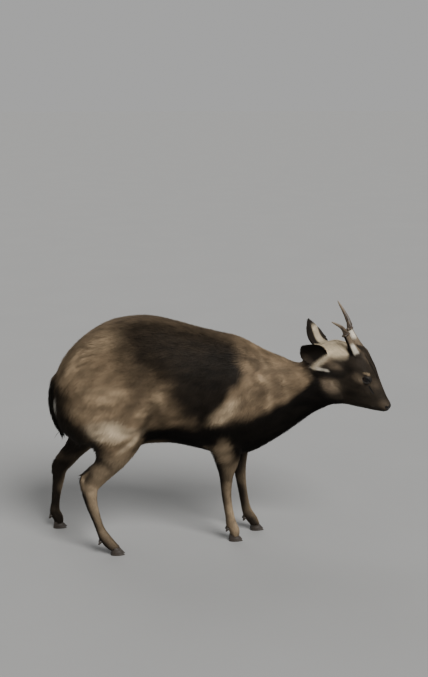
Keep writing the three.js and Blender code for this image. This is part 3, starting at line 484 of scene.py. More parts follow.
def head_colour(points, wander, streak):
    head = in_head(points)
    face = both_sides(head)
    x, _, z = face.T
    loose = 0.01 * wander + 0.006 * streak
    tone = plain(FACE, points)
    for colour, at, reach, share in FACE_PLACES:
        tone = over(tone, colour, share * spot(face, at, reach))
    # The pale crown: paler hair, brightened as painted sunlight.
    crown = ramp(at_line(z, CROWN_FRONT) - x + 0.6 * loose, -0.005, 0.005)
    crown = crown * ramp(z - 0.009 - 0.55 * x + 1.5 * loose, -0.01, 0.016)
    midline = ramp(-np.abs(head[:, 1]) + 0.3 * loose, -0.0045, -0.0015) * ramp(0.05 - x, 0, 0.02)
    tone = layered(
        tone,
        (BODY, ramp(0.02 - x + loose, -0.012, 0.014) * ramp(z + loose, -0.02, 0.01)),
        (BLACKISH, 0.85 * near(face, CHEEK_BAND, 0.015, 0.005, 0.3 * loose)),
        (BLACKISH, 0.8 * ramp(-z - 0.064 + loose, -0.01, 0.012)),
        (CROWN, crown),
        (FACE_GREY, 0.8 * spot(face + loose[:, None], (0.016, 0.041, 0.011), (0.011, 0.02, 0.014))),
        (SHADE_AND_DARK_HAIR, 0.7 * crown * midline),
        (PALE, 0.85 * near(face, EAR_FRINGE, 0.0062, 0.0022, 0.5 * loose)),
        (LIGHT, 0.85 * near(face, OVER_EYE, 0.0048, 0.0012, 0.4 * loose)),
        (BLACKISH, 0.85 * near(face, BROW_LINE, 0.0055, 0.0022)),
    )
    away, along = to_line(face, PEDICLE)
    post = ramp(-away, -0.018, -0.013) * ramp(along, 0.08, 0.22)
    axis = PEDICLE[1] - PEDICLE[0]
    ahead = unit(np.cross(axis, (0, -1, 0)))
    out = face - (PEDICLE[0] + along[:, None] * axis)
    angle = np.degrees(np.arctan2(out[:, 1], out @ ahead))  # 0 in front, 90 outside, 180 behind
    dark = ramp(angle + 400 * loose, 84, 114)
    patch = (1 - dark) * ramp(angle + 300 * loose, 15, 45) * ramp(0.6 - along + 12 * loose, -0.08, 0.1)
    on_post = layered(
        plain(FACE_GREY, points),
        (BLACKISH, dark),
        (PALE, ramp(-angle, 0, 40) * ramp(along, 0.5, 0.75)),
        (PALE, 0.92 * patch),
    )
    return over(tone, on_post, post)


def ear_colour(points, normals, side, wander):
    """Dark outside, and inside dark skin with painted shade in the hollow, with pale hair at the root and
    along the outer margin.
    """
    local, pose = in_ear(points, side), EAR_POSES[side]
    lateral = SIDES[side] * local[:, 1] / (EAR_HALF_WIDTH * pose["wide"])
    up = local[:, 2] / pose["length"]
    inner = ramp(normals @ ear_axes(side)[0][:, 0], -0.05, 0.35)
    low, high = pose["pale"]
    fringe = ramp(lateral + 0.3 * wander, low - 0.12, low + 0.12) * ramp(high - lateral, -0.06, 0.06)
    fringe = fringe * ramp(-up, -pose["pale_to"], 0.2 - pose["pale_to"])
    root = ramp(-up + 0.1 * wander, -pose["pale_root"] - 0.08, -pose["pale_root"])
    # Inside the ear: dark skin and painted shade in the hollow, lighter toward the lower wall.
    inside = over(plain(EAR_SKIN_AND_SHADE, points), EAR_WALL, 0.8 * ramp(lateral, 0.35, 0.6) * ramp(-up, -0.8, -0.5))
    inside = over(inside, EAR_HAIR, np.maximum(fringe, root))
    colour = over(plain(EAR_BACK, points), inside, inner)
    # The crown's pale hair and painted sunlight, reaching onto the back of the ear's root.
    return over(colour, CROWN, 0.7 * (1 - inner) * ramp(-up, -0.16, -0.04) * (lateral < 0))


def markings(points, normals):
    """The coat's colour at each point, with painted light and shade in places."""
    part = shares(points)
    wander = value_noise(points * (0.6, 1, 1), 0.028, 1) - 0.5
    streak = value_noise(points * (0.3, 1, 0.8), 0.007, 2) - 0.5
    mottle = value_noise(points * (0.45, 1, 1), 0.011, 3) - 0.5
    legs = np.maximum(part["fore"], part["hind"])
    colour = layered(
        body_colour(points, wander, streak),
        (TAIL_WHITE, 0.95 * spot(both_sides(points), TAIL_SLIVER, SLIVER_REACH)),
        (leg_colour(points, normals, part["fore"], wander), legs),
        (head_colour(points, wander, streak), part["head"]),
        *[(ear_colour(points, normals, side, wander), part["ears"][side]) for side in SIDES],
        (over(plain(TAIL_TOP, points), TAIL_WHITE, ramp(normals[:, 0], 0.2, 0.6)), part["tail"]),
    )
    furry = 1 - np.maximum(part["head"], legs)
    return colour * (1 + STREAK * streak + WANDER * wander + MOTTLE * mottle * furry)[:, None]


def lie(points, normals):
    """The way that the hair lies on the skin at each point."""
    x, y, z = points.T
    none, one = np.zeros(len(z)), np.ones(len(z))
    part = shares(points)
    level = level_of(points)
    sides = ramp(level, -0.1, 0.2) * ramp(1 - level, -0.05, 0.25)
    shoulder = spot(points * (1, 0, 1), (0.02, 0, 0.33), (0.1, 1, 0.14))
    haunch = spot(points * (1, 0, 1), (-0.28, 0, 0.33), (0.12, 1, 0.15))
    shin = np.interp(z, [0.02, 0.15, 0.2, 0.25], [0.25, 0.1, -0.5, -0.55])
    head = in_head(points)
    cheek = ramp(-head[:, 2], -0.03, 0.03) * ramp(0.13 - head[:, 0], -0.02, 0.05)
    outward = 0.25 * np.sign(head[:, 1]) * ramp(head[:, 0], 0.1, 0.2)
    away, along = to_line(both_sides(head), PEDICLE)
    post = ramp(-away, -0.02, -0.013) * ramp(along, 0.02, 0.2)
    on_head = over(np.column_stack([-one, outward, -0.6 * cheek]), unit(PEDICLE[1] - PEDICLE[0]), post)
    below = ramp(-head[:, 2], 0.03, 0.055) * ramp(0.12 - head[:, 0], 0, 0.04)
    way = layered(
        np.column_stack([-one, none, -(0.55 * sides + (0.9 * shoulder + 0.8 * haunch))]),
        ((-0.25, 0, -1.0), ramp(-x, 0.28, 0.36)),
        ((-0.93, 0, -0.4), part["neck"]),
        ((0.05, 0, -1.0), part["fore"]),
        (np.column_stack([shin, none, -one]), part["hind"]),
        (on_head @ HEAD_AXES.T, part["head"]),
        ((-0.95, 0, -0.25), part["head"] * below),
    )
    for name in SIDES:
        axes = ear_axes(name)[0]
        spread = 0.12 * in_ear(points, name)[:, 1] / EAR_HALF_WIDTH
        way = over(way, axes[:, 2] + spread[:, None] * axes[:, 1], part["ears"][name])
    back = np.interp(z, [0.3, 0.42], [0.25, -0.5])
    way = over(way, np.column_stack([back, 0.35 * y / TAIL_HALF_WIDTH, -one]), part["tail"])
    return unit(way - normals * (way * normals).sum(axis=1, keepdims=True))


def hair_length(points, normals):
    """The length of the hair in metres."""
    x, _, z = points.T
    part = shares(points)
    length = 0.0165 + 0.003 * ramp(-x, 0.2, 0.35) - 0.003 * ramp(-level_of(points), -0.2, 0.0)
    length = toward(length, 0.0145, part["neck"])
    leg = np.interp(z, [0.02, 0.06, 0.15, 0.25], [0.0035, 0.005, 0.0065, 0.013])
    length = toward(length, leg, np.maximum(part["fore"], part["hind"]))
    head = in_head(points)
    face = np.interp(head[:, 0], [0.03, 0.1, 0.15, 0.19], [0.007, 0.0045, 0.0036, 0.0022])
    face = face + 0.002 * ramp(0.05 - head[:, 0], 0, 0.02) * ramp(head[:, 2], 0.02, 0.04)
    away, along = to_line(both_sides(head), PEDICLE)
    face = toward(face, 0.003, ramp(-away, -0.018, -0.013) * ramp(along, 0.1, 0.25))
    length = toward(length, face, part["head"])
    for name in SIDES:
        inner = ramp(normals @ ear_axes(name)[0][:, 0], -0.1, 0.35)
        length = toward(length, 0.0026 + 0.0024 * inner, part["ears"][name])
    return toward(length, 0.024, part["tail"])


def coat_depth(points, normals):
    """How far the skin is moved in from the swollen copies of the solids."""
    part = shares(points)
    depth = toward(BURIED * hair_length(points, normals) + SWELL, TAIL_DEPTH, part["tail"])
    for name in SIDES:
        depth = toward(depth, EAR_SWELL + COVER, part["ears"][name])
    depth = toward(depth, SWELL + COVER, ramp(-points[:, 2], -0.03, -0.02))
    return depth + (SWELL - depth) * 0.8 * bare(points)


# Meshes and arrays


def gathered(items, field, width, kind=float):
    out = np.empty(len(items) * width, kind)
    items.foreach_get(field, out)
    return out.reshape(-1, width)


def places_of(mesh):
    return gathered(mesh.vertices, "co", 3)


def normals_of(mesh):
    return gathered(mesh.vertex_normals, "vector", 3)


def edges_of(mesh):
    return gathered(mesh.edges, "vertices", 2, np.int32)


def triangles_of(mesh):
    mesh.calc_loop_triangles()
    return gathered(mesh.loop_triangles, "vertices", 3, np.int32)


def move_to(mesh, places):
    mesh.vertices.foreach_set("co", places.ravel())
    mesh.update()


def new_object(name, mesh):
    made = bpy.data.objects.new(name, mesh)
    bpy.context.scene.collection.objects.link(made)
    return made


def object_from(name, places, triangles):
    mesh = bpy.data.meshes.new(name)
    mesh.vertices.add(len(places))
    mesh.vertices.foreach_set("co", np.ascontiguousarray(places, np.float32).ravel())
    mesh.loops.add(triangles.size)
    mesh.loops.foreach_set("vertex_index", triangles.astype(np.int32).ravel())
    mesh.polygons.add(len(triangles))
    mesh.polygons.foreach_set("loop_start", np.arange(0, triangles.size, 3, dtype=np.int32))
    mesh.update(calc_edges=True)
    mesh.shade_smooth()
    return new_object(name, mesh)


def paint(mesh, name, colours):
    layer = mesh.color_attributes.new(name, "FLOAT_COLOR", "POINT")
    solid = np.column_stack([colours, np.ones(len(colours))])
    layer.data.foreach_set("color", solid.astype(np.float32).ravel())


def number(mesh, name, values):
    layer = mesh.attributes.new(name, "FLOAT", "POINT")
    layer.data.foreach_set("value", np.asarray(values, np.float32))


def swollen(nodes):
    """One mesh of copies of solids, each a little swollen."""
    whole = bmesh.new()
    for node in nodes:
        one = bmesh.new()
        one.from_mesh(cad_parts[node].data)
        bmesh.ops.remove_doubles(one, verts=one.verts, dist=1e-5)
        one.normal_update()
        swell = EAR_SWELL if node.startswith("ear") else SWELL
        for vertex in one.verts:
            vertex.co += vertex.normal * swell
        passed = bpy.data.meshes.new("passed")
        one.to_mesh(passed)
        whole.from_mesh(passed)
        one.free()
        bpy.data.meshes.remove(passed)
    mesh = bpy.data.meshes.new("whole")
    whole.to_mesh(mesh)
    whole.free()
    return mesh


def with_modifiers(mesh, *modifiers, groups=None):
    """The mesh after modifiers, each given as its kind and settings."""
    carrier = new_object("carrier", mesh)
    for name, weights in (groups or {}).items():
        group = carrier.vertex_groups.new(name=name)
        steps = np.round(weights * 20).astype(int)
        for step in range(1, 21):
            group.add(np.flatnonzero(steps == step).tolist(), step / 20, "REPLACE")
    for kind, settings in modifiers:
        modifier = carrier.modifiers.new(kind.title(), kind)
        for key, value in settings.items():
            setattr(modifier, key, value)
    shown = carrier.evaluated_get(bpy.context.evaluated_depsgraph_get())
    made = bpy.data.meshes.new_from_object(shown)
    bpy.data.objects.remove(carrier)
    return made


def relax(mesh, rounds, share=1.0):
    """Smooths a mesh without shrinking it. share says how much of it each vertex takes."""
    places = places_of(mesh)
    a, b = edges_of(mesh).T
    n = len(places)
    count = np.maximum(np.bincount(a, minlength=n) + np.bincount(b, minlength=n), 1)
    share = np.broadcast_to(np.asarray(share, float), n)
    for _ in range(rounds):
        for step in (0.55, -0.57):
            for k in range(3):
                column = places[:, k]
                total = np.bincount(a, column[b], n) + np.bincount(b, column[a], n)
                places[:, k] = column + (total / count - column) * step * share
    move_to(mesh, places)


def largest_island(mesh):
    """Keeps the largest connected piece of a mesh."""
    a, b = edges_of(mesh).T
    label = np.arange(len(mesh.vertices))
    while True:
        low = np.minimum(label[a], label[b])
        fresh = label.copy()
        np.minimum.at(fresh, a, low)
        np.minimum.at(fresh, b, low)
        fresh = fresh[fresh]
        if (fresh == label).all():
            break
        label = fresh
    values, counts = np.unique(label, return_counts=True)
    keep = values[counts.argmax()]
    if len(values) == 1:
        return
    edit = bmesh.new()
    edit.from_mesh(mesh)
    edit.verts.ensure_lookup_table()
    away = [edit.verts[i] for i in np.flatnonzero(label != keep)]
    bmesh.ops.delete(edit, geom=away, context="VERTS")
    edit.to_mesh(mesh)
    edit.free()


def remeshed(mesh, voxel):
    settings = {"mode": "VOXEL", "voxel_size": voxel, "use_smooth_shade": True}
    return with_modifiers(mesh, ("REMESH", settings))


def face_focus(points):
    """1 where the face has fine features."""
    head = in_head(points)
    mirror = both_sides(head)
    near_eye = ramp(-norm(mirror - EYE_PLACE), -0.022, -0.017)
    near_nose = ramp(head[:, 0], 0.176, 0.182)
    near_pit = near(mirror, TEAR_PIT, 0.009, 0.006)
    near_mouth = near(mirror, MOUTH, 0.006, 0.004)
    return np.max([near_eye, near_nose, near_pit, near_mouth], axis=0)


def groove(points, line, wide, deep):
    """How far points are pushed in by a groove along a line."""
    away, along = to_line(points, line)
    ends = np.sqrt(np.clip(np.sin(np.pi * (0.08 + 0.84 * along)), 0.05, 1))
    return deep * ends * np.exp(-((away / wide) ** 2))


def make_skin():
    """The whole skin as one closed mesh, the coat's depth inside the solids."""
    coarse = remeshed(swollen(FLESH), COARSE_VOXEL)
    relax(coarse, 9)
    smooth_body = new_object("smooth_body", with_modifiers(coarse, ("SUBSURF", {"levels": 1})))
    skin = remeshed(swollen(FLESH), VOXEL)
    largest_island(skin)
    places = places_of(skin)
    part = shares(places)
    on_trunk = (1 - np.maximum(part["head"], part["tail"])) * ramp(places[:, 2], 0.2, 0.27)
    on_trunk = np.maximum(on_trunk, spot(places, THROAT, THROAT_REACH))
    wrap = {"target": smooth_body, "vertex_group": "trunk", "wrap_method": "NEAREST_SURFACEPOINT"}
    skin = with_modifiers(skin, ("SHRINKWRAP", wrap), groups={"trunk": on_trunk})
    bpy.data.objects.remove(smooth_body)
    relax(skin, 14, 1 - 0.75 * face_focus(places_of(skin)))
    rough = 1 - ramp(shares(places_of(skin))["head"], 0.2, 0.8)
    ratio = SKIN_TRIANGLES / (len(skin.polygons) * 2)
    settings = {"ratio": ratio, "vertex_group": "rough", "vertex_group_factor": 10.0}
    skin = with_modifiers(skin, ("DECIMATE", settings), groups={"rough": rough})
    edit = bmesh.new()
    edit.from_mesh(skin)
    focus = face_focus(places_of(skin)) > 0.5
    close = [e for e in edit.edges if focus[e.verts[0].index] and focus[e.verts[1].index]]
    bmesh.ops.subdivide_edges(edit, edges=close, cuts=1, use_grid_fill=True)
    bmesh.ops.triangulate(edit, faces=edit.faces)
    edit.to_mesh(skin)
    edit.free()
    relax(skin, 2, 1 - face_focus(places_of(skin)))
    relax(skin, 12, np.maximum(*shares(places_of(skin))["ears"].values()))
    places, normals = places_of(skin), normals_of(skin)
    places += normals * (relief(places, normals) - coat_depth(places, normals))[:, None]
    mirror = both_sides(in_head(places))
    deep = groove(mirror, NOSTRIL, 0.0018, 0.0042) + groove(mirror, MOUTH, 0.0011, 0.0018)
    deep += groove(mirror, TEAR_PIT, 0.0016, 0.0026) - groove(mirror, TEAR_PIT, 0.0042, 0.0009)
    deep += groove(mirror, BROW_LINE, 0.0016, 0.0008)
    move_to(skin, places - normals * deep[:, None])
    skin.shade_smooth()
    return new_object("skin", skin)


# Materials


class Nodes:
    """A material's nodes, made and joined in short calls."""

    def __init__(self, name):
        self.material = bpy.data.materials.new(name)
        self.material.use_nodes = True
        self.tree = self.material.node_tree
        self.shader = self.tree.nodes["Principled BSDF"]

    def make(self, kind, inputs=None, **settings):
        node = self.tree.nodes.new(kind)
        for key, value in settings.items():
            setattr(node, key, value)
        for key, value in (inputs or {}).items():
            self.feed(node.inputs[key], value)
        return node

    def feed(self, socket, value):
        if isinstance(value, bpy.types.NodeSocket):
            self.tree.links.new(value, socket)
        elif isinstance(value, np.ndarray):
            socket.default_value = (*value, 1)
        else:
            socket.default_value = value

    def shade(self, **values):
        for key, value in values.items():
            self.feed(self.shader.inputs[key.replace("_", " ").title().replace("Ior", "IOR")], value)

    def attribute(self, name, output="Color"):
        return self.make("ShaderNodeAttribute", attribute_name=name).outputs[output]

    def place(self, scale):
        where = self.make("ShaderNodeTexCoord").outputs["Object"]
        return self.make("ShaderNodeMapping", {"Vector": where, "Scale": scale}).outputs["Vector"]

    def noise(self, scale, stretch=(1, 1, 1), detail=3.0, rough=0.55):
        inputs = {"Vector": self.place(stretch), "Scale": scale, "Detail": detail, "Roughness": rough}
        return self.make("ShaderNodeTexNoise", inputs).outputs["Fac"]

    def span(self, value, low, high, start=0.0, end=1.0):
        inputs = {"Value": value, "From Min": start, "From Max": end, "To Min": low, "To Max": high}
        return self.make("ShaderNodeMapRange", inputs).outputs["Result"]

    def product(self, a, b):
        return self.make("ShaderNodeMath", {0: a, 1: b}, operation="MULTIPLY").outputs[0]

    def times(self, colour, value):
        node = self.make("ShaderNodeVectorMath", {0: colour, "Scale": value}, operation="SCALE")
        return node.outputs["Vector"]

    def mix(self, share, a, b):
        return self.make("ShaderNodeMix", {"Factor": share, 6: a, 7: b}, data_type="RGBA").outputs[2]

    def blend(self, share, a, b):
        return self.make("ShaderNodeMix", {"Factor": share, 2: a, 3: b}, data_type="FLOAT").outputs[0]

    def bump(self, height, strength, distance):
        inputs = {"Height": height, "Strength": strength, "Distance": distance}
        return self.make("ShaderNodeBump", inputs).outputs["Normal"]


def skin_material():
    """Fur lying flat over skin, and bare moist skin where the bare share is 1."""
    n = Nodes("skin_fur")
    legs = n.attribute("downward", "Fac")
    flat = n.noise(420, (0.14, 1, 1))
    hanging = n.noise(420, (1, 1, 0.14))
    strands = n.blend(legs, flat, hanging)
    patches = n.noise(35, detail=4.0)
    strength = n.product(n.span(strands, 0.45, 1.15), n.span(patches, 0.8, 1.2))
    fur = n.times(n.attribute("coat_colour"), strength)
    bare_share = n.attribute("bare", "Fac")
    grain = n.make("ShaderNodeTexVoronoi", {"Vector": n.place((1, 1, 1)), "Scale": 700}).outputs["Distance"]
    skin = n.mix(n.span(patches, 0, 1, 0.35, 0.65), BARE_SKIN, BARE_SKIN * 1.9)
    n.shade(base_color=n.mix(bare_share, fur, skin))
    n.shade(roughness=n.blend(bare_share, n.span(strands, 0.6, 0.85), n.span(grain, 0.26, 0.5)))
    height = n.blend(bare_share, strands, n.product(grain, 0.6))
    n.shade(normal=n.bump(height, 0.7, 0.0009), specular_ior_level=0.2)
    return n.material


def coat_material():
    n = Nodes("coat_tufts")
    fine = n.noise(900, detail=2.0)
    broad = n.noise(60, detail=3.0)
    strength = n.product(n.span(fine, 0.75, 1.25), n.span(broad, 0.85, 1.15))
    colour = n.times(n.attribute("coat_colour"), strength)
    n.shade(base_color=colour, roughness=n.span(broad, 0.5, 0.7), specular_ior_level=0.1)
    n.shade(normal=n.bump(fine, 0.35, 0.0004))
    return n.material


def antler_material():
    n = Nodes("antler_bone")
    grain = n.noise(260, detail=5.0)
    stains = n.noise(70, detail=4.0)
    up = n.attribute("tip", "Fac")
    base = n.mix(n.span(stains, 0, 1, 0.35, 0.62), brown(62, 51, 40), brown(98, 83, 66))
    base = n.mix(n.span(up, 0, 0.6, 0.5, 1.0), base, brown(146, 130, 107))
    dark = n.attribute("hollow", "Fac")
    base = n.mix(n.product(dark, 0.8), base, brown(38, 30, 23))
    n.shade(base_color=base, roughness=n.span(grain, 0.35, 0.6), specular_ior_level=0.45)
    n.shade(normal=n.bump(grain, 0.4, 0.0005))
    return n.material


def hoof_material():
    n = Nodes("hoof_horn")
    rings = n.noise(330, (0.35, 0.35, 1), detail=3.0)
    wear = n.noise(90, detail=4.0)
    base = n.mix(wear, brown(28, 24, 21), brown(62, 53, 45))
    n.shade(base_color=n.times(base, n.span(rings, 0.75, 1.25)), roughness=n.span(wear, 0.3, 0.58))
    n.shade(normal=n.bump(rings, 0.5, 0.0004), specular_ior_level=0.5)
    return n.material


def eye_material():
    """A dark eye: pupil, brown iris and darker rim, by the distance from the middle of the gaze."""
    n = Nodes("eye_wet")
    apart = n.attribute("from_pupil", "Fac")
    fibres = n.noise(900, detail=4.0)
    iris = n.mix(fibres, brown(20, 13, 9), brown(44, 29, 19))
    ramped = n.mix(n.span(apart, 0, 1, 0.36, 0.46), brown(7, 6, 6), iris)
    ramped = n.mix(n.span(apart, 0, 1, 0.78, 0.95), ramped, brown(20, 15, 12))
    n.shade(base_color=ramped, roughness=n.span(fibres, 0.04, 0.09), specular_ior_level=0.3)
    n.shade(normal=n.bump(fibres, 0.03, 0.0001))
    return n.material


def lid_material():
    n = Nodes("lid_skin")
    grain = n.noise(800, detail=4.0)
    base = n.mix(grain, BARE_SKIN, BARE_SKIN * 2.2)
    n.shade(base_color=base, roughness=n.span(grain, 0.4, 0.6), normal=n.bump(grain, 0.5, 0.0003))
    n.shade(specular_ior_level=0.25)
    return n.material


# The coat


class Ground:
    """The skin as arrays, from which roots are drawn."""

    def __init__(self, mesh):
        self.places, self.normals = places_of(mesh), normals_of(mesh)
        self.triangles = triangles_of(mesh)
        corners = self.places[self.triangles]
        self.middles = corners.mean(axis=1)
        first, second = corners[:, 1] - corners[:, 0], corners[:, 2] - corners[:, 0]
        self.areas = norm(np.cross(first, second)) / 2
        self.facing = unit(self.normals[self.triangles].sum(axis=1))

    def draw(self, chosen, weights, count):
        """Roots spread evenly over the chosen triangles: places and normals."""
        edges = np.cumsum(weights)
        at = (np.arange(count) + rng.random(count)) / count * edges[-1]
        picked = chosen[np.minimum(np.searchsorted(edges, at), len(chosen) - 1)]
        u, v = rng.random(count), rng.random(count)
        flip = u + v > 1
        u, v = np.where(flip, 1 - u, u), np.where(flip, 1 - v, v)
        share = np.stack([1 - u - v, u, v], axis=1)[:, :, None]
        corners = self.triangles[picked]
        return (self.places[corners] * share).sum(axis=1), unit((self.normals[corners] * share).sum(axis=1))


# A long tuft's corners: a ring at the root, one at the bend, and the tip. A short one has no bend.
LONG_FACES = [(0, 1, 2), (0, 3, 4), (0, 4, 1), (1, 4, 5), (1, 5, 2), (2, 5, 3), (2, 3, 0)]
LONG_FACES = np.array(LONG_FACES + [(3, 6, 4), (4, 6, 5), (5, 6, 3)])
SHORT_FACES = np.array([(0, 1, 2), (0, 3, 1), (1, 3, 2), (2, 3, 0)])
PATCH = 0.003  # across a tuft's place on the bake's map


def tufts(name, roots, normals, chart, wide_share, bent):
    """A coat piece: one tapered tuft for each root."""
    n = len(roots)
    length = hair_length(roots, normals) * rng.uniform(0.72, 1.2, n)
    way = lie(roots, normals)
    across = np.cross(way, normals)
    swirl = 0.4 * (value_noise(roots, 0.03, 5) - 0.5) + rng.normal(0, 0.08, n)
    way, across = (
        way * np.cos(swirl)[:, None] + across * np.sin(swirl)[:, None],
        across * np.cos(swirl)[:, None] - way * np.sin(swirl)[:, None],
    )
    wide = (length * wide_share * rng.uniform(0.75, 1.25, n))[:, None]
    lift = np.minimum(coat_depth(roots, normals), RAISED * hair_length(roots, normals))
    up = lift * rng.uniform(0.55, 1.15, n)
    up = np.where(rng.random(n) < 0.02, up * 1.5, up)[:, None]
    length = length[:, None]
    rings = [(roots - normals * 0.0005, 1.0)]
    if bent:
        rings.append((roots + way * length * 0.5 + normals * up * 0.8, 0.85))
    corners = []
    for middle, size in rings:
        corners.append(middle - across * wide * size / 2)
        corners.append(middle + across * wide * size / 2)
        corners.append(middle + normals * wide * size * 0.32)
    corners.append(roots + way * length + normals * up)
    corners = np.stack(corners, axis=1)
    count = corners.shape[1]
    pattern = LONG_FACES if bent else SHORT_FACES
    faces = (pattern[None] + count * np.arange(n)[:, None, None]).reshape(-1, 3)
    made = object_from(name, corners.reshape(-1, 3), faces)
    lean = np.resize([-0.45, 0.45, 0.0], count)
    lean[-1] = 0
    shown = normals[:, None, :] + lean[None, :, None] * across[:, None, :]
    shown[:, -1] += 0.25 * way
    made.data.normals_split_custom_set_from_vertices(unit(shown).reshape(-1, 3))
    colour = markings(roots, normals) * rng.uniform(0.86, 1.16, (n, 1))
    level = np.repeat(np.linspace(0, 1, count // 3 + 1), [3] * (count // 3) + [1])
    shade = 0.86 + 0.22 * level
    paint(made.data, "coat_colour", (colour[:, None, :] * shade[None, :, None]).reshape(-1, 3))
    low, high = chart.min(axis=0), chart.max(axis=0)
    at = 0.01 + 0.98 * (chart - low) / np.maximum(high - low, 1e-6)
    beside = np.resize([-0.5, 0.5, 0.0], count)
    beside[-1] = 0
    patch = np.stack([beside, level - 0.5], axis=1) * PATCH
    uv = (at[:, None, :] + patch[None])[:, pattern.ravel()]
    layer = made.data.uv_layers.new(name="OFBake")
    layer.data.foreach_set("uv", uv.astype(np.float32).ravel())
    made.data.materials.append(COAT)
    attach(made, "root")


skin = make_skin()
ground = Ground(skin.data)
SKIN_MATERIAL, COAT = skin_material(), coat_material()
skin_colour = markings(ground.places, ground.normals)
skin_part = shares(ground.places)
paint(skin.data, "coat_colour", skin_colour)
number(skin.data, "bare", bare(ground.places))
number(skin.data, "downward", np.maximum.reduce([skin_part["fore"], skin_part["hind"], skin_part["tail"]]))
skin.data.materials.append(SKIN_MATERIAL)
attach(skin, "root")
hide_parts(*FLESH)


def unwrapped(points, along, steps=14):
    """Unwraps points round their middle line: how far along it, and the angle round it."""
    order, beside = points[:, along], np.delete(points, along, axis=1)
    edges = np.linspace(order.min(), order.max(), steps + 1)
    rows = []
    for low, high in zip(edges[:-1], edges[1:]):
        inside = beside[(order >= low) & (order <= high)]
        if len(inside) > 3:
            rows.append([(low + high) / 2, *(inside.min(axis=0) + inside.max(axis=0)) / 2])
    places, *middle = np.array(rows).T
    u, v = (beside[:, k] - np.interp(order, places, middle[k]) for k in range(2))
    return np.column_stack([order, np.arctan2(u, v)])


def side_by_side(points, charts, sets):
    """Several charts in one square, each in its own strip."""
    out = np.zeros((len(points), 2))
    for k, (inside, chart) in enumerate(zip(sets, charts)):
        if not inside.any():
            continue
        low, high = chart.min(axis=0), chart.max(axis=0)
        even = (chart - low) / np.maximum(high - low, 1e-6)
        out[inside, 0] = even[:, 0]
        out[inside, 1] = (k + 0.02 + 0.96 * even[:, 1]) / len(sets)
    return out


def ear_chart(points, normals):
    sets, charts = [], []
    for side in SIDES:
        local = in_ear(points, side)
        mine = ear_share(points, side) > 0.3
        facing = normals @ ear_axes(side)[0][:, 0] > 0
        for inside in (mine & facing, mine & ~facing):
            sets.append(inside)
            charts.append(local[inside][:, [2, 1]])
    return side_by_side(points, charts, sets)


def leg_chart(points, _):
    sets = [points[:, 1] < 0, points[:, 1] >= 0]
    return side_by_side(points, [unwrapped(points[inside], 2) for inside in sets], sets)


def trunk_chart(points, _):
    return unwrapped(points, 0)


def head_chart(points, _):
    return unwrapped(in_head(points), 0)


def tail_chart(points, _):
    return unwrapped(points, 2)


face_part = shares(ground.middles)
in_ears = np.maximum(*face_part["ears"].values()) > 0.5
in_legs = {end: face_part[end] > 0.75 for end in ("fore", "hind")}
on_head = (face_part["head"] > 0.5) & ~in_ears
on_tail = face_part["tail"] > 0.5
on_neck = (face_part["neck"] > 0.5) & ~on_head & ~in_ears
on_trunk = ~(in_ears | in_legs["fore"] | in_legs["hind"] | on_head | on_tail | on_neck)
eye_away = norm(both_sides(in_head(ground.middles)) - EYE_PLACE)
furred = (bare(ground.middles) < 0.5) & (ground.middles[:, 2] > 0.016) & (eye_away > EYE_R + 0.0016)

# Each coat piece: where, its finish, its chart, how often tufts cover the skin, their width as a share of
# their length, and whether they are bent
COATS = [
    ("coat_tail", on_tail, "coat_body", tail_chart, 3.0, 0.11, True),
    ("coat_ears", in_ears, "coat_head", ear_chart, 2.4, 0.13, False),
    ("coat_head", on_head, "coat_head", head_chart, 2.2, 0.16, False),
    ("coat_forelegs", in_legs["fore"], "coat_leg", leg_chart, 2.2, 0.16, False),
    ("coat_hindlegs", in_legs["hind"], "coat_leg", leg_chart, 2.2, 0.16, False),
    ("coat_neck", on_neck, "coat_neck", trunk_chart, 3.2, 0.085, False),
]
SPANS = {"rump": (-1, -0.22), "barrel": (-0.22, -0.04), "shoulder": (-0.04, 1)}
for label, (low, high) in SPANS.items():
    for side, sign in SIDES.items():
        x, y, _ = ground.middles.T
        there = on_trunk & (x >= low) & (x < high) & (y * sign > 0)
        COATS.append((f"coat_{label}_{side}", there, "coat_body", trunk_chart, 3.2, 0.085, False))

for name, there, slot, chart, cover, width, bent in COATS:
    chosen = np.flatnonzero(there & furred)
    middles, facing = ground.middles[chosen], ground.facing[chosen]
    length = hair_length(middles, facing)
    weights = ground.areas[chosen] * cover / (0.55 * length**2 * width)
    most = PIECE_TRIANGLES // len(LONG_FACES if bent else SHORT_FACES)
    count = min(most, int(weights.sum()))
    roots, normals = ground.draw(chosen, weights, count)
    grow = min(1.35, math.sqrt(weights.sum() / count))
    tufts(name, roots, normals, chart(roots, normals), width * grow, bent)


# Eyes and lids


def lathe(name, profile, turns, axes, at):
    """A closed surface turned round the axes' z, from (radius, height) pairs that begin and end on it."""
    inner = np.array(profile[1:-1])
    angles = np.linspace(0, 2 * np.pi, turns, endpoint=False)
    across, up = inner[:, :1], inner[:, 1:]
    rings = np.stack(np.broadcast_arrays(across * np.cos(angles), across * np.sin(angles), up), axis=-1)
    local = np.concatenate([[(0, 0, profile[0][1])], rings.reshape(-1, 3), [(0, 0, profile[-1][1])]])
    faces = []
    last = len(local) - 1
    for k in range(turns):
        after = (k + 1) % turns
        faces.append((0, 1 + k, 1 + after))
        end = 1 + (len(inner) - 1) * turns
        faces.append((last, end + after, end + k))
        for r in range(len(inner) - 1):
            a, b = 1 + r * turns + k, 1 + r * turns + after
            faces += [(a, a + turns, b + turns), (a, b + turns, b)]
    made = object_from(name, local @ axes.T + at, np.array(faces))
    return made, local


def axes_along(direction, up):
    z = unit(np.asarray(direction, float))
    x = unit(np.cross(up, z))
    return np.stack([x, np.cross(z, x), z], axis=1)


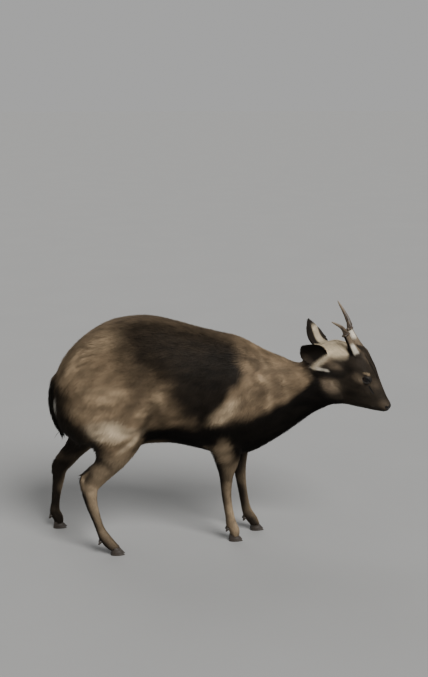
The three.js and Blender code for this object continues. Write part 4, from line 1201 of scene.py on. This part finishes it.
def tube(line, radii, sides=10):
    """Corners and faces of a closed ring-shaped tube along a closed line."""
    n = len(line)
    ahead = unit(np.roll(line, -1, axis=0) - np.roll(line, 1, axis=0))
    out = unit(line - line.mean(axis=0))
    out = unit(out - ahead * (out * ahead).sum(axis=1, keepdims=True))
    third = np.cross(ahead, out)
    angles = np.linspace(0, 2 * np.pi, sides, endpoint=False)
    spread = np.cos(angles)[None, :, None] * out[:, None] + np.sin(angles)[None, :, None] * third[:, None]
    corners = line[:, None] + spread * np.asarray(radii).reshape(-1, 1, 1)
    k, s = np.meshgrid(np.arange(n), np.arange(sides), indexing="ij")
    a, b, c, d = ((k + i) % n * sides + (s + j) % sides for i in range(2) for j in range(2))
    faces = np.stack([np.stack([a, c, d], -1), np.stack([a, d, b], -1)], axis=2).reshape(-1, 3)
    return corners.reshape(-1, 3), faces


EYE, LIDS = eye_material(), lid_material()
CORNEA_HALF, CORNEA_BULGE = math.radians(38), 0.0009  # from the gaze to the cornea's edge, and its height
for side, sign in SIDES.items():
    mirror = np.array([1, sign, 1])
    gaze = HEAD_AXES @ unit(EYE_GAZE * mirror)
    at = from_head(EYE_PLACE * mirror)
    axes = axes_along(gaze, HEAD_AXES[:, 2])
    profile = []
    for k in range(25):
        a = math.pi * (1 - k / 24)
        to_edge = min(math.pi / 2, a / CORNEA_HALF * math.pi / 2)
        bulge = CORNEA_BULGE * max(0.0, math.cos(to_edge)) ** 0.8
        profile.append(((EYE_R + bulge) * math.sin(a), (EYE_R + bulge) * math.cos(a)))
    eyeball, local = lathe(f"eyeball_{side}", profile, 40, axes, at)
    apart = norm(local[:, :2] / EYE_R * (0.72, 1.25))
    number(eyeball.data, "from_pupil", np.where(local[:, 2] > 0, apart, 2.0))
    eyeball.data.materials.append(EYE)
    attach(eyeball, "root")
    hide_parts(f"eye_{side}")

    turn = math.radians(LID_OPEN["tilt"])
    a = np.linspace(0, 2 * np.pi, 48, endpoint=False)
    flat_x = LID_OPEN["half_length"] * np.cos(a)
    flat_z = LID_OPEN["half_height"] * np.sign(np.sin(a)) * np.abs(np.sin(a)) ** 1.2
    rim_x = flat_x * math.cos(turn) - flat_z * math.sin(turn) + LID_OPEN["ahead"]
    rim_z = flat_x * math.sin(turn) + flat_z * math.cos(turn)
    reach = np.sqrt(np.maximum((EYE_R + 0.0006) ** 2 - rim_x**2 - rim_z**2, 1e-8))
    rim = from_head(EYE_PLACE * mirror + np.column_stack([rim_x, sign * reach, rim_z]))
    radii = 0.0011 + 0.0005 * np.clip(np.sin(a), 0, 1)
    corners, faces = tube(rim, radii)
    lids = object_from(f"lid_rim_{side}", corners, faces)
    lids.data.materials.append(LIDS)
    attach(lids, "root")

# Antlers, hooves and dewclaws: finer copies of their solids
ANTLER, HOOF = antler_material(), hoof_material()


def refined(nodes, voxel, rounds):
    whole = bmesh.new()
    for node in nodes:
        whole.from_mesh(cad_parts[node].data)
    mesh = bpy.data.meshes.new("refined")
    bmesh.ops.remove_doubles(whole, verts=whole.verts, dist=1e-6)
    whole.to_mesh(mesh)
    whole.free()
    made = remeshed(mesh, voxel)
    relax(made, rounds)
    return made


for side, sign in SIDES.items():
    mesh = refined([f"antler_{side}"], FINE_VOXEL, 8)
    places, normals = places_of(mesh), normals_of(mesh)
    local = in_head(places)
    burr = np.array([0.012, 0.026 * sign, 0.08])
    far = norm(local - burr)
    tip = far / far.max()
    along = unit(local[far.argmax()] - burr)
    around = local - burr - ((local - burr) @ along)[:, None] * along
    angle = np.arctan2(around @ np.array([0, 1, 0]), around @ unit(np.cross(along, (0, 1, 0))))
    ribs = 0.5 + 0.5 * np.sin(9 * angle + 6 * value_noise(local, 0.012, 8))
    pearls = value_noise(local, 0.0032, 9)
    low = ramp(0.75 - tip, 0, 0.4)
    hollow = ramp(0.45 - ribs, -0.1, 0.4) * low
    raised = 0.0007 * (ribs - 0.6) * low + 0.0009 * (pearls - 0.5) * ramp(0.4 - tip, 0, 0.3)
    move_to(mesh, places + normals * raised[:, None])
    number(mesh, "tip", tip)
    number(mesh, "hollow", np.clip(hollow + 0.5 * ramp(0.35 - pearls, 0, 0.2) * low, 0, 1))
    mesh.shade_smooth()
    antler = new_object(f"antler_bone_{side}", mesh)
    mesh.materials.append(ANTLER)
    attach(antler, "root")
    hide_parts(f"antler_{side}")

DIGITS = [(kind, which) for kind in ("hoof", "dewclaw") for which in ("inner", "outer")]
for end in ("fore", "hind"):
    for side in SIDES:
        nodes = [f"{kind}_{end}_{side}_{which}" for kind, which in DIGITS]
        mesh = refined(nodes, FINE_VOXEL, 6)
        places, normals = places_of(mesh), normals_of(mesh)
        ridges = np.sin(places[:, 2] / 0.0011 + 3 * value_noise(places, 0.01, 4))
        wall = ramp(places[:, 2], 0.002, 0.005) * ramp(np.abs(normals[:, 2]) * -1, -0.8, -0.5)
        places += normals * (0.00012 * ridges * wall)[:, None]
        places[:, 2] = np.maximum(places[:, 2], 0)
        move_to(mesh, places)
        mesh.shade_smooth()
        hooves = new_object(f"hooves_{end}_{side}", mesh)
        mesh.materials.append(HOOF)
        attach(hooves, "root")
        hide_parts(*nodes)

# Floor, light and camera
floor_mesh = bpy.data.meshes.new("floor")
edit = bmesh.new()
bmesh.ops.create_grid(edit, x_segments=2, y_segments=2, size=40)
edit.to_mesh(floor_mesh)
edit.free()
floor = new_object("floor", floor_mesh)
n = Nodes("floor_plain")
mottle = n.noise(3.0, detail=6.0)
grey = n.mix(mottle, (0.288, 0.288, 0.285, 1), (0.312, 0.312, 0.308, 1))
n.shade(base_color=grey, roughness=n.span(mottle, 0.85, 0.95))
n.shade(normal=n.bump(n.noise(160, detail=4.0), 0.1, 0.001), specular_ior_level=0.05)
floor_mesh.materials.append(n.material)

world = bpy.data.worlds.new("plain")
bpy.context.scene.world = world
world.use_nodes = True
SKY = 0.43  # the floor in the lamps' light looks as bright
world.node_tree.nodes["Background"].inputs["Color"].default_value = (1, 1, 0.995, 1)
world.node_tree.nodes["Background"].inputs["Strength"].default_value = SKY


def aim(made, direction):
    made.rotation_mode = "QUATERNION"
    made.rotation_quaternion = direction.to_track_quat("-Z", "Y")


def lamp(name, place, spread, power, warmth=(1, 1, 1)):
    """A large far lamp that shines from a direction, its light spread over some degrees."""
    data = bpy.data.lights.new(name, "SUN")
    data.angle, data.energy, data.color = math.radians(spread), power, warmth
    made = new_object(name, data)
    made.location = place
    aim(made, -Vector(place))


lamp("key", (1.3, -2.5, 2.5), 28, 4.0, (1, 0.99, 0.97))
lamp("back", (-0.9, 2.4, 2.6), 35, 0.6)

CAMERA_HEADING = math.radians(4)  # that the camera looks ahead of the animal's left
CAMERA_BOW = math.radians(12.511)
CAMERA_AWAY, CAMERA_UP, CAMERA_LENS = 2.705, 1.1, 61.95
camera_data = bpy.data.cameras.new("camera")
camera_data.lens = CAMERA_LENS
camera = new_object("camera", camera_data)
ahead = np.array([math.sin(CAMERA_HEADING), math.cos(CAMERA_HEADING)])
camera.location = (*(MOVED[:2] - CAMERA_AWAY * ahead), CAMERA_UP)
aim(camera, Vector((*(ahead * math.cos(CAMERA_BOW)), -math.sin(CAMERA_BOW))))
bpy.context.scene.camera = camera
